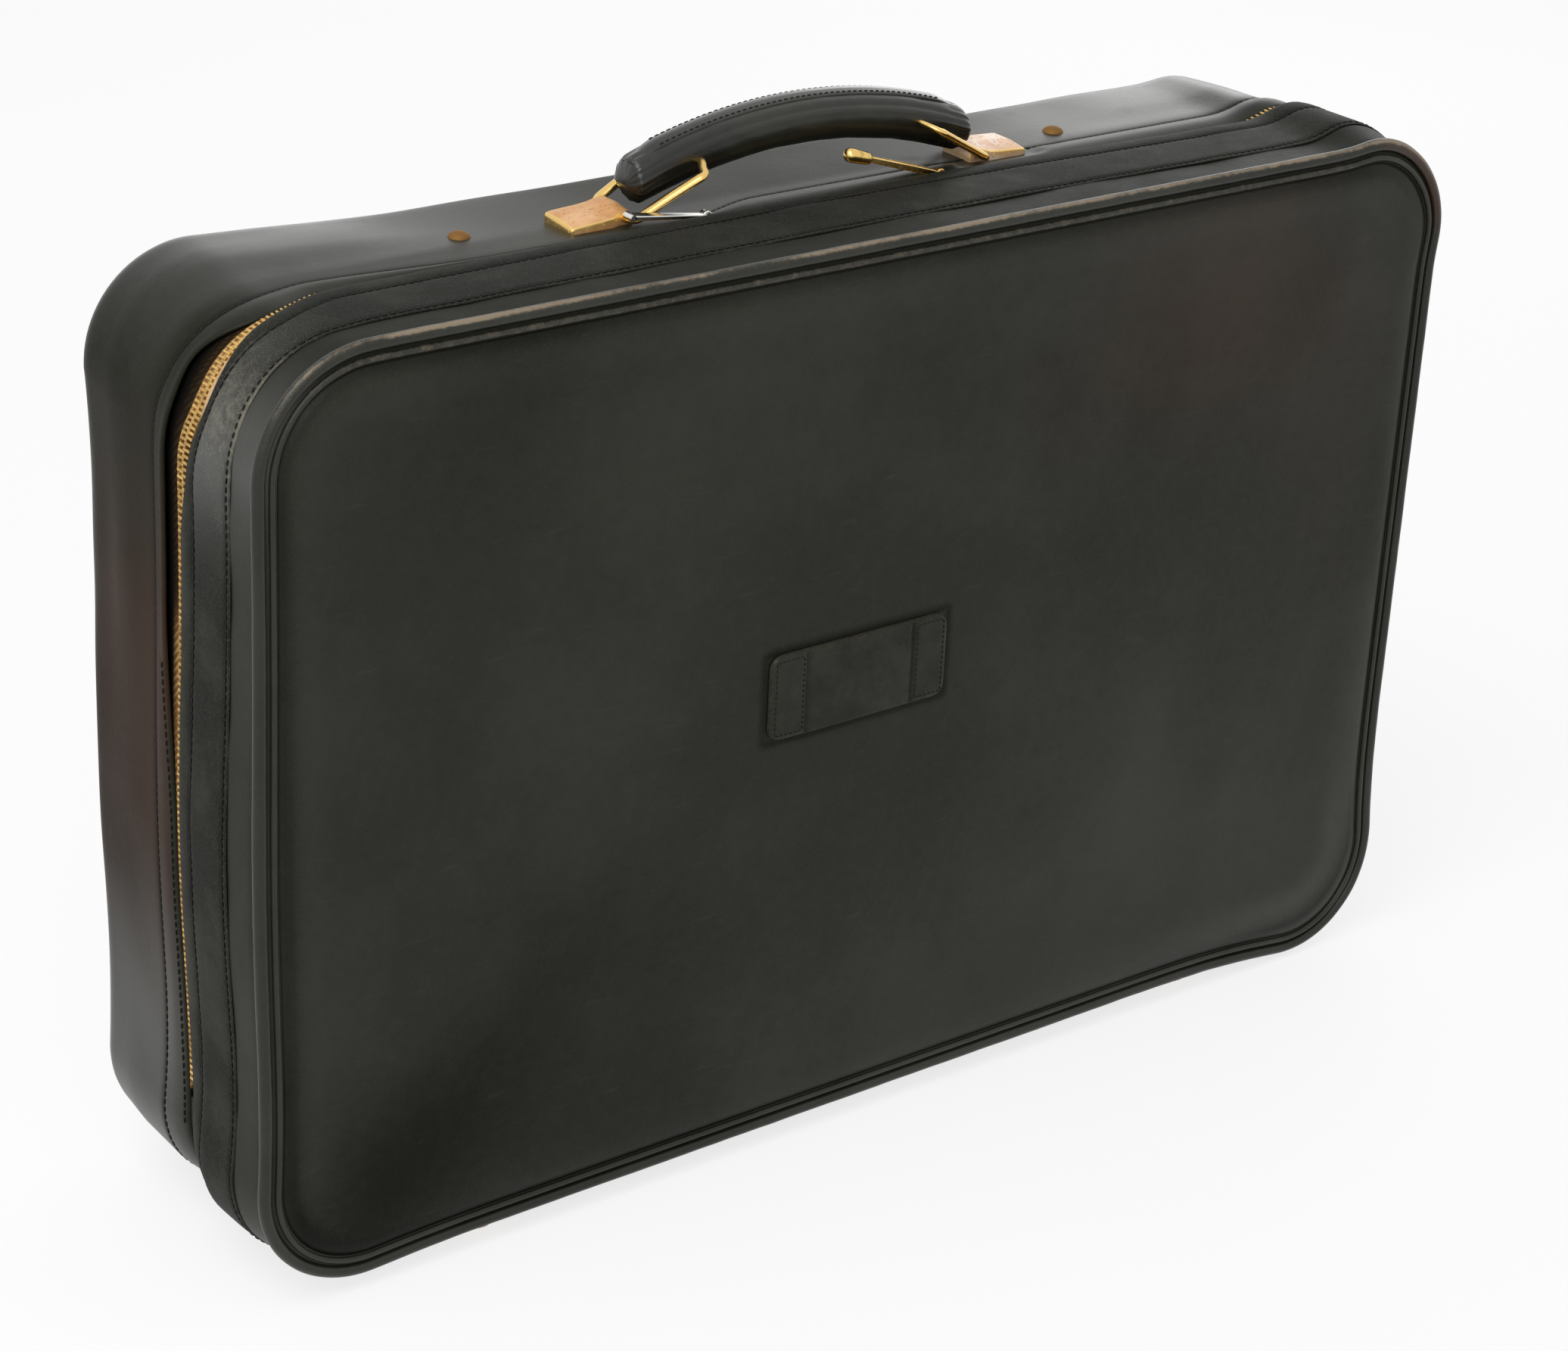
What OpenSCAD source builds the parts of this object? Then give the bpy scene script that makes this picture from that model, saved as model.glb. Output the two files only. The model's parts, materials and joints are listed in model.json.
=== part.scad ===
// Zip-round leather suitcase: a rigid body and a lid that hinges along the bottom,
// closed by a double-slider zip and carried by an arched handle on two metal rings.
// X runs along the width, Y from the front (-) to the back (+), Z up, floor at zero.

/* [Case] */
// Width over the outer piping
case_w = 700; // [620:1:780]
// Height over the outer piping, without the feet
case_h = 462; // [420:1:540]
// Depth of the lid, from the zip to the front piping
lid_d = 78; // [72:1:110]
// Depth of the body, from the zip to the back panel
body_d = 93; // [80:1:120]
// Corner radius of the outer piping, seen from the front
corner_r = 58; // [50:1:80]
// Height of the piping above the floor
ride_h = 10; // [7:1:16]

/* [Leather and boards] */
// Step from the outer piping down to the lid's leather
lid_step = 4.5; // [3.5:0.1:6]
// Step from the outer piping down to the body's leather
body_step = 7; // [5.5:0.1:8]
// Thickness of the leather on the walls
wall_t = 1.7; // [1.2:0.1:2.2]
// Thickness of the wooden rim frames, measured in the lid
frame_t = 9; // [8:0.1:12]
// Thickness of the front and back boards
board_t = 5; // [3:0.1:7]
// Thickness of the lining
lining_t = 1; // [0.6:0.1:2]
// Radius of the body's rounded back edge
back_r = 12; // [8:0.1:14]

/* [Front] */
// Diameter of the outer piping
piping_d = 6; // [5:0.1:7]
// Diameter of the inner piping
inner_piping_d = 3; // [2.4:0.1:3.4]
// Step from the outline to the middle of the inner piping
inner_piping_step = 9.2; // [8.6:0.1:10]
// Step from the outline to the edge of the front panel
panel_step = 12.6; // [11.8:0.1:16]
// Thickness of the front panel
panel_t = 1.2; // [0.8:0.1:1.2]
// Depth of the groove that the panel and the inner piping lie in
groove_depth = 2; // [1.9:0.1:2.5]
// Width of the name patch
patch_w = 108; // [60:1:160]
// Height of the name patch
patch_h = 45; // [30:1:70]
// Distance of the name patch from the middle, to the right
patch_x = -24; // [-100:1:100]
// Height of the middle of the name patch above the floor
patch_z = 253; // [150:1:350]
// Corner radius of the name patch
patch_r = 6; // [3:0.1:12]

/* [Binding and zip] */
// Width of the stitched binding on the lid, from its edge
binding_w = 43.5; // [30:0.5:50]
// Thickness of the binding's outer layer
binding_t = 1; // [0.7:0.1:1.5]
// Half of the zip's opening on the lid side
lid_lip = 5.5; // [5.4:0.1:6.5]
// Half of the zip's opening on the body side
body_lip = 8; // [6:0.1:10]
// Width of the chain with its teeth closed
chain_w = 8.4; // [7:0.1:8.8]
// Thickness of the teeth
tooth_t = 3; // [2:0.1:3.2]
// Gap between the two rows of teeth, for the sliders' wedges
chain_gap = 1.2; // [1:0.1:1.8]
// Thickness of the tape
tape_t = 0.8; // [0.5:0.1:1.2]
// Width of the tape under the leather, measured from the split
tape_reach = 18; // [14:0.5:22]
// Height at which the zip ends on both sides
zip_end_z = 82; // [76:1:140]

/* [Sliders] */
// Place of the left slider along the width
left_slider_x = -66; // [-240:1:-50]
// Place of the right slider along the width
right_slider_x = 74; // [50:1:240]
// Length of a slider
slider_l = 15; // [12:0.1:20]
// Width of a slider
slider_w = 10.4; // [9:0.1:10.4]
// Length of the left pull from its pin
left_pull_l = 46; // [20:1:50]
// Length of the right pull from its pin
right_pull_l = 58; // [30:1:65]
// Angle at which the left pull stands up from the zip
left_pull_rise = 8; // [0:1:20]
// Angle at which the right pull stands up from the zip
right_pull_rise = 17; // [0:1:30]

/* [Handle] */
// Middle of the handle along the width
handle_x = 5; // [-20:1:20]
// Middle of the handle behind the zip
handle_back = 27.5; // [27:0.5:40]
// Half the distance between the rings' lower pivots
ring_pivot_x = 105.5; // [103:0.5:112]
// Reach of a ring between its two bars' centres
ring_reach = 45; // [40:1:52]
// Angle of the rings above the case's top
ring_angle = 29; // [26:1:34]
// Diameter of a ring's bar
ring_bar_d = 4.5; // [3.5:0.1:5]
// Width of a ring between the centres of its arms
ring_w = 38.5; // [36:0.1:46]
// Diameter of the grip
grip_d = 24; // [20:0.1:26]
// Radius of the grip's arch
grip_arch_r = 280; // [250:1:320]
// Half the length of the grip between its rounded ends' centres
grip_half = 95; // [84:1:95]
// How far the handle lifts
grip_travel = 6; // [3:0.1:7]
// Length of a handle base
base_l = 36; // [34:1:60]
// Width of a handle base
base_w = 26; // [22:1:28]
// Height of a handle base at its thin outer end
base_tip_h = 2.5; // [2.2:0.1:5]
// Distance of the stud rivets from the middle of the case
stud_x = 178.5; // [165:0.5:220]
// Distance of the stud rivets behind the zip
stud_back = 38; // [30:0.5:44]

/* [Feet] */
// Diameter of a foot
foot_d = 20; // [14:0.5:24]
// Distance of the feet from the middle of the case
foot_x = 226; // [150:1:260]
// How far the front feet stand back from the front of the case
lid_foot_back = 18; // [16.5:0.5:24]
// How far the rear feet stand in from the back of the case
body_foot_back = 24; // [22:0.5:38]

/* [Inside] */
// Width of a packing strap
strap_w = 25; // [15:1:40]
// Distance of the packing straps from the middle
strap_x = 150; // [80:1:220]
// Width of the lid pocket
pocket_w = 560; // [300:1:600]
// Height of the lid pocket
pocket_h = 250; // [120:1:300]

/* [Hidden] */
$fn = 64;

// Clearances: between parts that move past each other, and in a running pivot
part_gap = 0.3;
pivot_fit = 0.08;
// Half of the gap between the two frames at the split
split_gap = 0.25;

// Places worked out from the sizes above
split_y = (lid_d - body_d) / 2;
mid_z = ride_h + case_h / 2;
top_z = ride_h + case_h;
arc_x = case_w / 2 - corner_r;
arc_z = case_h / 2 - corner_r;
lid_frame_step = lid_step + wall_t;
body_frame_step = body_step + wall_t;
frame_in_step = lid_frame_step + frame_t;
lining_in_step = frame_in_step + lining_t;
tape_step = body_frame_step;
tape_mid_step = tape_step + tape_t / 2;
slider_plate_t = 1.5;
slider_sole_t = 1;
zip_floor_step = tape_mid_step + tooth_t / 2 + slider_sole_t + 2 * part_gap;
zip_floor_half = slider_w / 2 + part_gap + 0.5;
chain_half = chain_w / 2;
zip_stop_l = 5;
board_edge_step = frame_in_step + 4.8;
flange_t = 1.5;
flange_front = lid_d - groove_depth;
flange_w = 16;
padding_step = lid_step + flange_w;
board_front = flange_front - flange_t;
board_back = board_front - board_t;
back_board_back = body_d - wall_t;
back_board_front = back_board_back - board_t;
back_flange_w = 8;
back_panel_step = body_step + back_r + back_flange_w;
body_top_z = top_z - body_step;
handle_y = split_y + handle_back;
stud_y = split_y + stud_back;
lid_foot_y = split_y - lid_d + lid_foot_back;
body_foot_y = split_y + body_d - body_foot_back;
shank_r = 2;
foot_nail_l = 6;
foot_dome_r = foot_d / 2 + 1.5;
foot_flat = 0.4;
strap_t = 1.5;
strap_end_gap = 4;
pocket_t = 1.2;
pocket_low = 14;
elastic_h = 12;
elastic_t = 2.5;

// Handle: pivot places, seen from the handle's own middle
ring_r = ring_bar_d / 2;
knuckle_r = ring_r + 1.75;
pivot_z = body_top_z + knuckle_r;
ring_dx = ring_reach * cos(ring_angle);
ring_dz = ring_reach * sin(ring_angle);
grip_pin_x = ring_pivot_x - ring_dx;
grip_pin_z = pivot_z + ring_dz;
arch_mid_z = grip_pin_z - sqrt(pow(grip_arch_r, 2) - pow(grip_pin_x, 2));
lifted_pin_x = ring_pivot_x - sqrt(pow(ring_reach, 2) - pow(ring_dz + grip_travel, 2));
grip_end_angle = asin(grip_half / grip_arch_r);
ring_corner_r = 4.5;
base_in = ring_pivot_x - knuckle_r;
base_out = base_in + base_l;
base_corner_r = 4;
rivet_margin = 6;
rivet_xs = [ring_pivot_x + knuckle_r + rivet_margin, base_out - rivet_margin];
rivet_depth = 1.8;
plate_t = 2;
plate_top_z = top_z - lining_in_step;
plate_end_margin = 12;
plate_back_margin = 8;
rivet_head_r = 4;
rivet_head_t = 1.5;
stud_r = 5.5;
stud_h = 3;
core_w = 13;
core_t = 11;
strip_t = 1.2;
strip_w = 12;
glue_t = 0.05;
end_inset = 0.05;

// Sliders: heights above the middle of the tape
slider_top = tooth_t / 2 + part_gap;
slider_bottom = -slider_top;
pull_eye_r = 2.1;
pull_eye_w = 4.2;
pin_r = 0.8;
pin_up = slider_top + slider_plate_t + pull_eye_r + part_gap;
ear_t = 1.2;
ear_gap = 0.2;
pull_t = 1.8;
slider_z = top_z - tape_mid_step;

// Colours
leather = [0.13, 0.13, 0.12];
worn_leather = [0.2, 0.19, 0.17];
edge_leather = [0.3, 0.24, 0.18];
brass = [0.78, 0.6, 0.3];
steel = [0.75, 0.75, 0.74];
tape_cloth = [0.72, 0.6, 0.38];
wood = [0.72, 0.56, 0.38];
lining_cloth = [0.55, 0.46, 0.34];

// Stands a front view up: local X is the width, local Y the height from the
// middle of the case, and local Z runs forwards from the zip.
module front_view() {
    translate([0, split_y, mid_z]) rotate([90, 0, 0]) children();
}

// A section is drawn with X as the step in from the outline and Y forwards from the zip.
module section() {
    translate([corner_r, 0]) mirror([1, 0]) children();
}

// A straight run of the rim. Side 0 is the top, 1 the left, 2 the bottom, 3 the right.
module rim_run(side, from, to) {
    out = side % 2 == 0 ? arc_z : arc_x;
    rotate([0, 0, 90 * side]) translate([from, out, 0]) rotate([90, 0, 90])
        linear_extrude(to - from) section() children();
}

// The rim's corner at the end of a side, going clockwise.
module rim_corner(side) {
    along = side % 2 == 0 ? arc_x : arc_z;
    out = side % 2 == 0 ? arc_z : arc_x;
    rotate([0, 0, 90 * side]) translate([along, out, 0])
        rotate_extrude(angle = 90) section() children();
}

// A section along the rim's four straight runs, and round its four corners.
module rim_rails() {
    front_view() for (side = [0:3]) {
        along = side % 2 == 0 ? arc_x : arc_z;
        rim_run(side, -along, along) children();
    }
}

module rim_corners() {
    front_view() for (side = [0:3]) rim_corner(side) children();
}

// A section swept all the way round the rim.
module rim() {
    rim_rails() children();
    rim_corners() children();
}

// A section swept up one side, over the top and down the other, as far as the zip goes.
module zip_sweep(end_z = zip_end_z) {
    low = end_z - mid_z;
    front_view() {
        rim_run(0, -arc_x, arc_x) children();
        rim_corner(0) children();
        rim_corner(1) children();
        rim_run(1, low, arc_z) children();
        rim_run(3, -arc_z, -low) children();
    }
}

// A section swept along the bottom and up to where the zip ends.
module hinge_sweep() {
    high = zip_end_z - zip_stop_l - part_gap - mid_z;
    front_view() {
        rim_run(2, -arc_x, arc_x) children();
        rim_corner(2) children();
        rim_corner(3) children();
        rim_run(1, -arc_z, high) children();
        rim_run(3, -high, arc_z) children();
    }
}

// Short pieces of a section just below the zip's two ends.
module zip_ends() {
    high = zip_end_z - mid_z;
    front_view() {
        rim_run(1, high - zip_stop_l, high) children();
        rim_run(3, -high, zip_stop_l - high) children();
    }
}

// The outline of the case, stepped in.
module outline(step) {
    r = corner_r - step;
    square([2 * (arc_x + r), 2 * arc_z], center = true);
    square([2 * arc_x, 2 * (arc_z + r)], center = true);
    for (sx = [-1, 1]) for (sz = [-1, 1]) translate([sx * arc_x, sz * arc_z]) circle(r);
}

// A flat sheet or board across the case, between two depths.
module sheet(step, low, high) {
    front_view() translate([0, 0, low]) linear_extrude(high - low) outline(step);
}

// A rectangle of a section, between two steps and two depths.
module bar(step_a, step_b, low, high) {
    translate([step_a, low]) square([step_b - step_a, high - low]);
}

// A flat rounded rectangle.
module round_plate(w, h, r) {
    square([w - 2 * r, h], center = true);
    square([w, h - 2 * r], center = true);
    for (sx = [-1, 1]) for (sy = [-1, 1]) translate([sx * (w / 2 - r), sy * (h / 2 - r)]) circle(r);
}

// The sections of the two pipings along the front edge.
module piping_section() {
    translate([piping_d / 2, lid_d - piping_d / 2]) circle(d = piping_d);
}

module inner_piping_section() {
    front = lid_d - 0.2;
    translate([inner_piping_step, front - inner_piping_d / 2]) circle(d = inner_piping_d);
}

// The room that the zip takes out of a frame: a land for the tape and a floor for the sliders.
module zip_room() {
    for (side = [0, 1]) mirror([0, side]) {
        bar(0, tape_step + tape_t, 0, tape_reach);
        bar(0, zip_floor_step, 0, zip_floor_half);
    }
}

// Holes for the nails of a pair of feet.
module nail_holes(y) {
    for (sx = [-1, 1]) translate([sx * foot_x, y, 0]) cylinder(r = shank_r, h = ride_h + corner_r);
}

// The round seats of the front feet, where the binding reaches them.
module foot_seats() {
    for (sx = [-1, 1]) translate([sx * foot_x, lid_foot_y, 0])
        cylinder(r = foot_d / 2 + part_gap, h = ride_h + lid_step);
}

// Puts a rivet at each place under the handle's bases, and at the two studs.
module at_base_rivets() {
    for (x = rivet_xs) for (sx = [-1, 1]) translate([handle_x + sx * x, handle_y, 0]) children();
}

module at_studs() {
    for (sx = [-1, 1]) translate([sx * stud_x, stud_y, 0]) children();
}

module rivet_hole() {
    translate([0, 0, plate_top_z - 2 * plate_t])
        cylinder(r = shank_r, h = body_step + lining_in_step + plate_t);
}

module rivet_holes() {
    at_base_rivets() rivet_hole();
    at_studs() rivet_hole();
}

// Lid

module lid_frame_section() {
    difference() {
        bar(lid_frame_step, frame_in_step, split_gap, board_back);
        zip_room();
    }
}

// The four straight rails of the lid's frame.
module lid_rails() {
    color(wood) difference() {
        rim_rails() lid_frame_section();
        nail_holes(lid_foot_y);
    }
}

// The four bent corners that join them.
module lid_corners() {
    color(wood) rim_corners() lid_frame_section();
}

module front_board() {
    color(wood) sheet(lid_frame_step, board_back, board_front);
}

module front_padding() {
    color(lining_cloth) sheet(padding_step, board_front, flange_front);
}

module front_panel() {
    color(leather) sheet(panel_step, flange_front, flange_front + panel_t);
}

module name_patch() {
    patch_t = groove_depth - panel_t;
    color(worn_leather) front_view() translate([patch_x, patch_z - mid_z, lid_d - patch_t])
        linear_extrude(patch_t) round_plate(patch_w, patch_h, patch_r);
}

module lid_wall() {
    color(leather) difference() {
        rim() difference() {
            union() {
                bar(lid_step, lid_frame_step, tape_reach, flange_front);
                bar(lid_step, padding_step, board_front, flange_front);
            }
            piping_section();
            inner_piping_section();
        }
        nail_holes(lid_foot_y);
    }
}

module lid_binding() {
    color(worn_leather) difference() {
        rim() {
            bar(lid_step - binding_t, lid_step, lid_lip, lid_lip + binding_w);
            bar(lid_step, tape_step, lid_lip, tape_reach);
        }
        foot_seats();
    }
}

module outer_piping() {
    color(edge_leather) rim() piping_section();
}

module inner_piping() {
    color(edge_leather) rim() inner_piping_section();
}

module lid_zip_tape() {
    color(tape_cloth) zip_sweep() bar(tape_step, tape_step + tape_t, chain_half, tape_reach);
}

// One row of teeth's section, ahead of the zip's middle.
module tooth_section() {
    bar(tape_mid_step - tooth_t / 2, tape_mid_step + tooth_t / 2, chain_gap / 2, chain_half);
}

module lid_zip_teeth() {
    color(brass) zip_sweep() tooth_section();
}

module lid_zip_stops() {
    color(brass) zip_ends() tooth_section();
}

module lid_lining() {
    color(lining_cloth) union() {
        sheet(frame_in_step, board_back - lining_t, board_back);
        rim() bar(frame_in_step, lining_in_step, 2 * split_gap, board_back - lining_t);
    }
}

module lid_pocket() {
    bottom = ride_h + lining_in_step + pocket_low - mid_z;
    face = board_back - lining_t;
    color(lining_cloth) front_view() {
        translate([-pocket_w / 2, bottom, face - pocket_t]) cube([pocket_w, pocket_h, pocket_t]);
        translate([-pocket_w / 2, bottom + pocket_h, face - elastic_t])
            cube([pocket_w, elastic_h, elastic_t]);
    }
}

// A domed foot with its nail, standing on the floor.
module foot(h) {
    rotate_extrude() intersection() {
        translate([0, foot_dome_r - foot_flat]) circle(foot_dome_r);
        square([foot_d / 2, h]);
    }
    translate([0, 0, h]) cylinder(r = shank_r, h = wall_t + foot_nail_l);
}

module lid_feet() {
    color(brass) for (sx = [-1, 1])
        translate([sx * foot_x, lid_foot_y, 0]) foot(ride_h + lid_step);
}

// Body

module body_frame_section() {
    mid_step = body_step + back_r;
    mid_depth = back_r - body_d;
    inner_r = back_r - wall_t;
    difference() {
        union() {
            bar(body_frame_step, frame_in_step, mid_depth, -split_gap);
            intersection() {
                translate([mid_step, mid_depth]) circle(inner_r);
                bar(body_frame_step, mid_step, -back_board_back, mid_depth);
            }
            bar(mid_step, board_edge_step, -back_board_back, -back_board_front);
        }
        bar(frame_in_step, board_edge_step, -back_board_front, 0);
        zip_room();
    }
}

// The four straight rails of the body's frame, with a ledge for the back board.
module body_rails() {
    color(wood) difference() {
        rim_rails() body_frame_section();
        nail_holes(body_foot_y);
        rivet_holes();
    }
}

// The four bent corners that join them.
module body_corners() {
    color(wood) rim_corners() body_frame_section();
}

module back_board() {
    color(wood) sheet(board_edge_step, -back_board_back, -back_board_front);
}

module body_wall() {
    mid_step = body_step + back_r;
    mid_depth = back_r - body_d;
    color(leather) difference() {
        rim() {
            bar(body_step, body_frame_step, mid_depth, -body_lip);
            intersection() {
                translate([mid_step, mid_depth]) difference() {
                    circle(back_r);
                    circle(back_r - wall_t);
                }
                bar(body_step, mid_step, -body_d, mid_depth);
            }
            bar(mid_step, back_panel_step, -body_d, -back_board_back);
        }
        nail_holes(body_foot_y);
        rivet_holes();
    }
}

module back_panel() {
    color(leather) sheet(back_panel_step, -body_d, -back_board_back);
}

module body_zip_tape() {
    color(tape_cloth) zip_sweep() mirror([0, 1])
        bar(tape_step, tape_step + tape_t, chain_half, tape_reach);
}

module body_zip_teeth() {
    color(brass) zip_sweep() mirror([0, 1]) tooth_section();
}

module body_zip_stops() {
    color(brass) zip_ends() mirror([0, 1]) tooth_section();
}

module body_lining() {
    color(lining_cloth) difference() {
        union() {
            sheet(frame_in_step, -back_board_front, lining_t - back_board_front);
            rim() bar(frame_in_step, lining_in_step, lining_t - back_board_front, -2 * split_gap);
        }
        rivet_holes();
    }
}

// The leather strip that joins the two halves along the bottom.
module hinge_strip() {
    slack = 0.2;
    color(leather) hinge_sweep() {
        bar(tape_step, tape_step + tape_t, -tape_reach, 0);
        bar(tape_step + slack, tape_step + tape_t - slack, 0, tape_reach);
    }
}

module packing_straps() {
    low = ride_h + lining_in_step + strap_end_gap;
    high = top_z - lining_in_step - plate_t - rivet_head_t - strap_end_gap;
    color(worn_leather) for (sx = [-1, 1])
        translate([sx * strap_x - strap_w / 2, split_y + back_board_front - lining_t - strap_t, low])
            cube([strap_w, strap_t, high - low]);
}

// A buckle's frame with its middle bar, lying on each strap.
module strap_buckles() {
    wire = 3;
    frame_w = strap_w + 4 * wire;
    frame_h = 30;
    face = back_board_front - lining_t - strap_t;
    color(brass) for (sx = [-1, 1]) front_view()
        translate([sx * strap_x, 0, -face]) linear_extrude(2.5) {
            difference() {
                round_plate(frame_w, frame_h, wire);
                square([frame_w - 2 * wire, frame_h - 2 * wire], center = true);
            }
            square([frame_w - 2 * wire, wire], center = true);
        }
}

// The steel plate inside the top that the handle is riveted to.
module backing_plate() {
    half = stud_x + plate_end_margin;
    front = handle_y - base_w / 2;
    back = stud_y + plate_back_margin;
    color(steel) difference() {
        translate([-half, front, plate_top_z - plate_t]) cube([2 * half, back - front, plate_t]);
        rivet_holes();
    }
}

module inner_rivet_head() {
    translate([0, 0, plate_top_z - plate_t - rivet_head_t])
        cylinder(r = rivet_head_r, h = rivet_head_t);
}

module base_rivets() {
    low = plate_top_z - plate_t;
    color(brass) at_base_rivets() {
        inner_rivet_head();
        translate([0, 0, low]) cylinder(r = shank_r, h = body_top_z + rivet_depth - low);
    }
}

module stud_rivets() {
    low = plate_top_z - plate_t;
    dome_r = (pow(stud_r, 2) + pow(stud_h, 2)) / (2 * stud_h);
    color(brass) at_studs() {
        inner_rivet_head();
        translate([0, 0, low]) cylinder(r = shank_r, h = body_top_z - low);
        translate([0, 0, body_top_z]) rotate_extrude() intersection() {
            translate([0, stud_h - dome_r]) circle(dome_r);
            square([stud_r, stud_h]);
        }
    }
}

// The side view of a handle base: a wedge that falls from the knuckle to a thin outer end.
module base_profile() {
    run = base_out - ring_pivot_x;
    fall = base_tip_h - knuckle_r;
    turn = atan2(fall, run) + acos(knuckle_r / norm([run, fall]));
    translate([ring_pivot_x, knuckle_r]) {
        circle(knuckle_r);
        polygon([
            [0, -knuckle_r], [run, -knuckle_r], [run, fall],
            [knuckle_r * cos(turn), knuckle_r * sin(turn)]
        ]);
    }
}

// The right-hand handle base, with the handle's middle as its origin.
module handle_base() {
    difference() {
        intersection() {
            translate([0, base_w / 2, body_top_z]) rotate([90, 0, 0])
                linear_extrude(base_w) base_profile();
            translate([base_in + base_l / 2, 0, body_top_z])
                linear_extrude(2 * knuckle_r) round_plate(base_l, base_w, base_corner_r);
        }
        translate([ring_pivot_x, base_w, pivot_z]) rotate([90, 0, 0])
            cylinder(r = ring_r + pivot_fit, h = 2 * base_w);
        for (x = rivet_xs) translate([x, 0, body_top_z - 1])
            cylinder(r = shank_r, h = rivet_depth + 1);
    }
}

module left_handle_base() {
    color(brass) translate([handle_x, handle_y, 0]) mirror([1, 0, 0]) handle_base();
}

module right_handle_base() {
    color(brass) translate([handle_x, handle_y, 0]) handle_base();
}

module body_feet() {
    color(brass) for (sx = [-1, 1])
        translate([sx * foot_x, body_foot_y, 0]) foot(ride_h + body_step);
}

// Sliders

// A slider's plate, narrower at its tail, which points towards -X.
module slider_outline() {
    half_l = slider_l / 2;
    half_w = slider_w / 2;
    polygon([
        [-half_l, -half_w + 1.2], [-half_l + 1.2, -half_w + 0.5], [half_l - 2, -half_w],
        [half_l, -half_w + 2], [half_l, half_w - 2], [half_l - 2, half_w],
        [-half_l + 1.2, half_w - 0.5], [-half_l, half_w - 1.2]
    ]);
}

// A slider with its wedge between the rows of teeth and its ears for the pull.
module slider() {
    wedge_w = chain_gap - 0.5;
    wedge_l = 4;
    ear_in = pull_eye_w / 2 + ear_gap;
    translate([0, 0, slider_top]) linear_extrude(slider_plate_t) slider_outline();
    translate([0, 0, slider_bottom - slider_sole_t]) linear_extrude(slider_sole_t) slider_outline();
    translate([slider_l / 2 - 2 - wedge_l, -wedge_w / 2, slider_bottom])
        cube([wedge_l, wedge_w, slider_top - slider_bottom]);
    for (side = [-1, 1]) translate([0, side * (ear_in + ear_t / 2), 0]) {
        translate([-pull_eye_r, -ear_t / 2, slider_top + slider_plate_t])
            cube([2 * pull_eye_r, ear_t, pin_up - slider_top - slider_plate_t]);
        translate([0, ear_t / 2, pin_up]) rotate([90, 0, 0]) cylinder(r = pull_eye_r, h = ear_t);
    }
    translate([0, ear_in, pin_up]) rotate([90, 0, 0]) cylinder(r = pin_r, h = 2 * ear_in);
}

// The eye of a pull round a slider's pin, with the pin as its origin.
module pull_eye() {
    rotate([90, 0, 0]) difference() {
        cylinder(r = pull_eye_r, h = pull_eye_w, center = true);
        cylinder(r = pin_r + pivot_fit, h = 2 * pull_eye_w, center = true);
    }
}

// The pull's shank leaves the eye between the ears, then may widen.
module pull_neck(to) {
    start = pull_eye_r - 0.4;
    translate([start, -pull_eye_w / 2 + ear_gap, -pull_t / 2])
        cube([to - start, pull_eye_w - 2 * ear_gap, pull_t]);
}

module left_slider() {
    color(steel) translate([left_slider_x, split_y, slider_z]) slider();
}

module right_slider() {
    color(brass) translate([right_slider_x, split_y, slider_z]) mirror([1, 0, 0]) slider();
}

// A slim pull that widens towards an eye for a cord, and ends in a roll.
module left_pull() {
    neck = pull_eye_r + 2;
    roll_r = 1.6;
    end_w = 7.6;
    eye_r = 1.7;
    eye_back = 4.5;
    color(steel) translate([left_slider_x, split_y, slider_z + pin_up])
        rotate([0, left_pull_rise, 0]) mirror([1, 0, 0]) {
            pull_eye();
            pull_neck(neck);
            translate([0, 0, -pull_t / 2]) linear_extrude(pull_t) difference() {
                polygon([
                    [neck, -2.4], [left_pull_l - roll_r, -end_w / 2],
                    [left_pull_l - roll_r, end_w / 2], [neck, 2.4]
                ]);
                translate([left_pull_l - roll_r - eye_back, 0]) circle(eye_r);
            }
            translate([left_pull_l - roll_r, 0, 0]) rotate([90, 0, 0])
                cylinder(r = roll_r, h = end_w, center = true);
        }
}

// A flat shank that ends in a long round knob, standing up a little from the zip.
module right_pull() {
    neck = pull_eye_r + 2;
    knob_r = 3;
    knob_l = 17;
    shank_w = 6;
    color(brass) translate([right_slider_x, split_y, slider_z + pin_up])
        rotate([0, right_pull_rise, 0]) mirror([1, 0, 0]) {
            pull_eye();
            pull_neck(neck);
            translate([neck, -shank_w / 2, -pull_t / 2])
                cube([right_pull_l - knob_l - neck, shank_w, pull_t]);
            translate([right_pull_l - knob_l, 0, 0]) rotate([0, 90, 0])
                cylinder(r = knob_r, h = knob_l - knob_r);
            translate([right_pull_l - knob_r, 0, 0]) sphere(knob_r);
        }
}

// Handle

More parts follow.
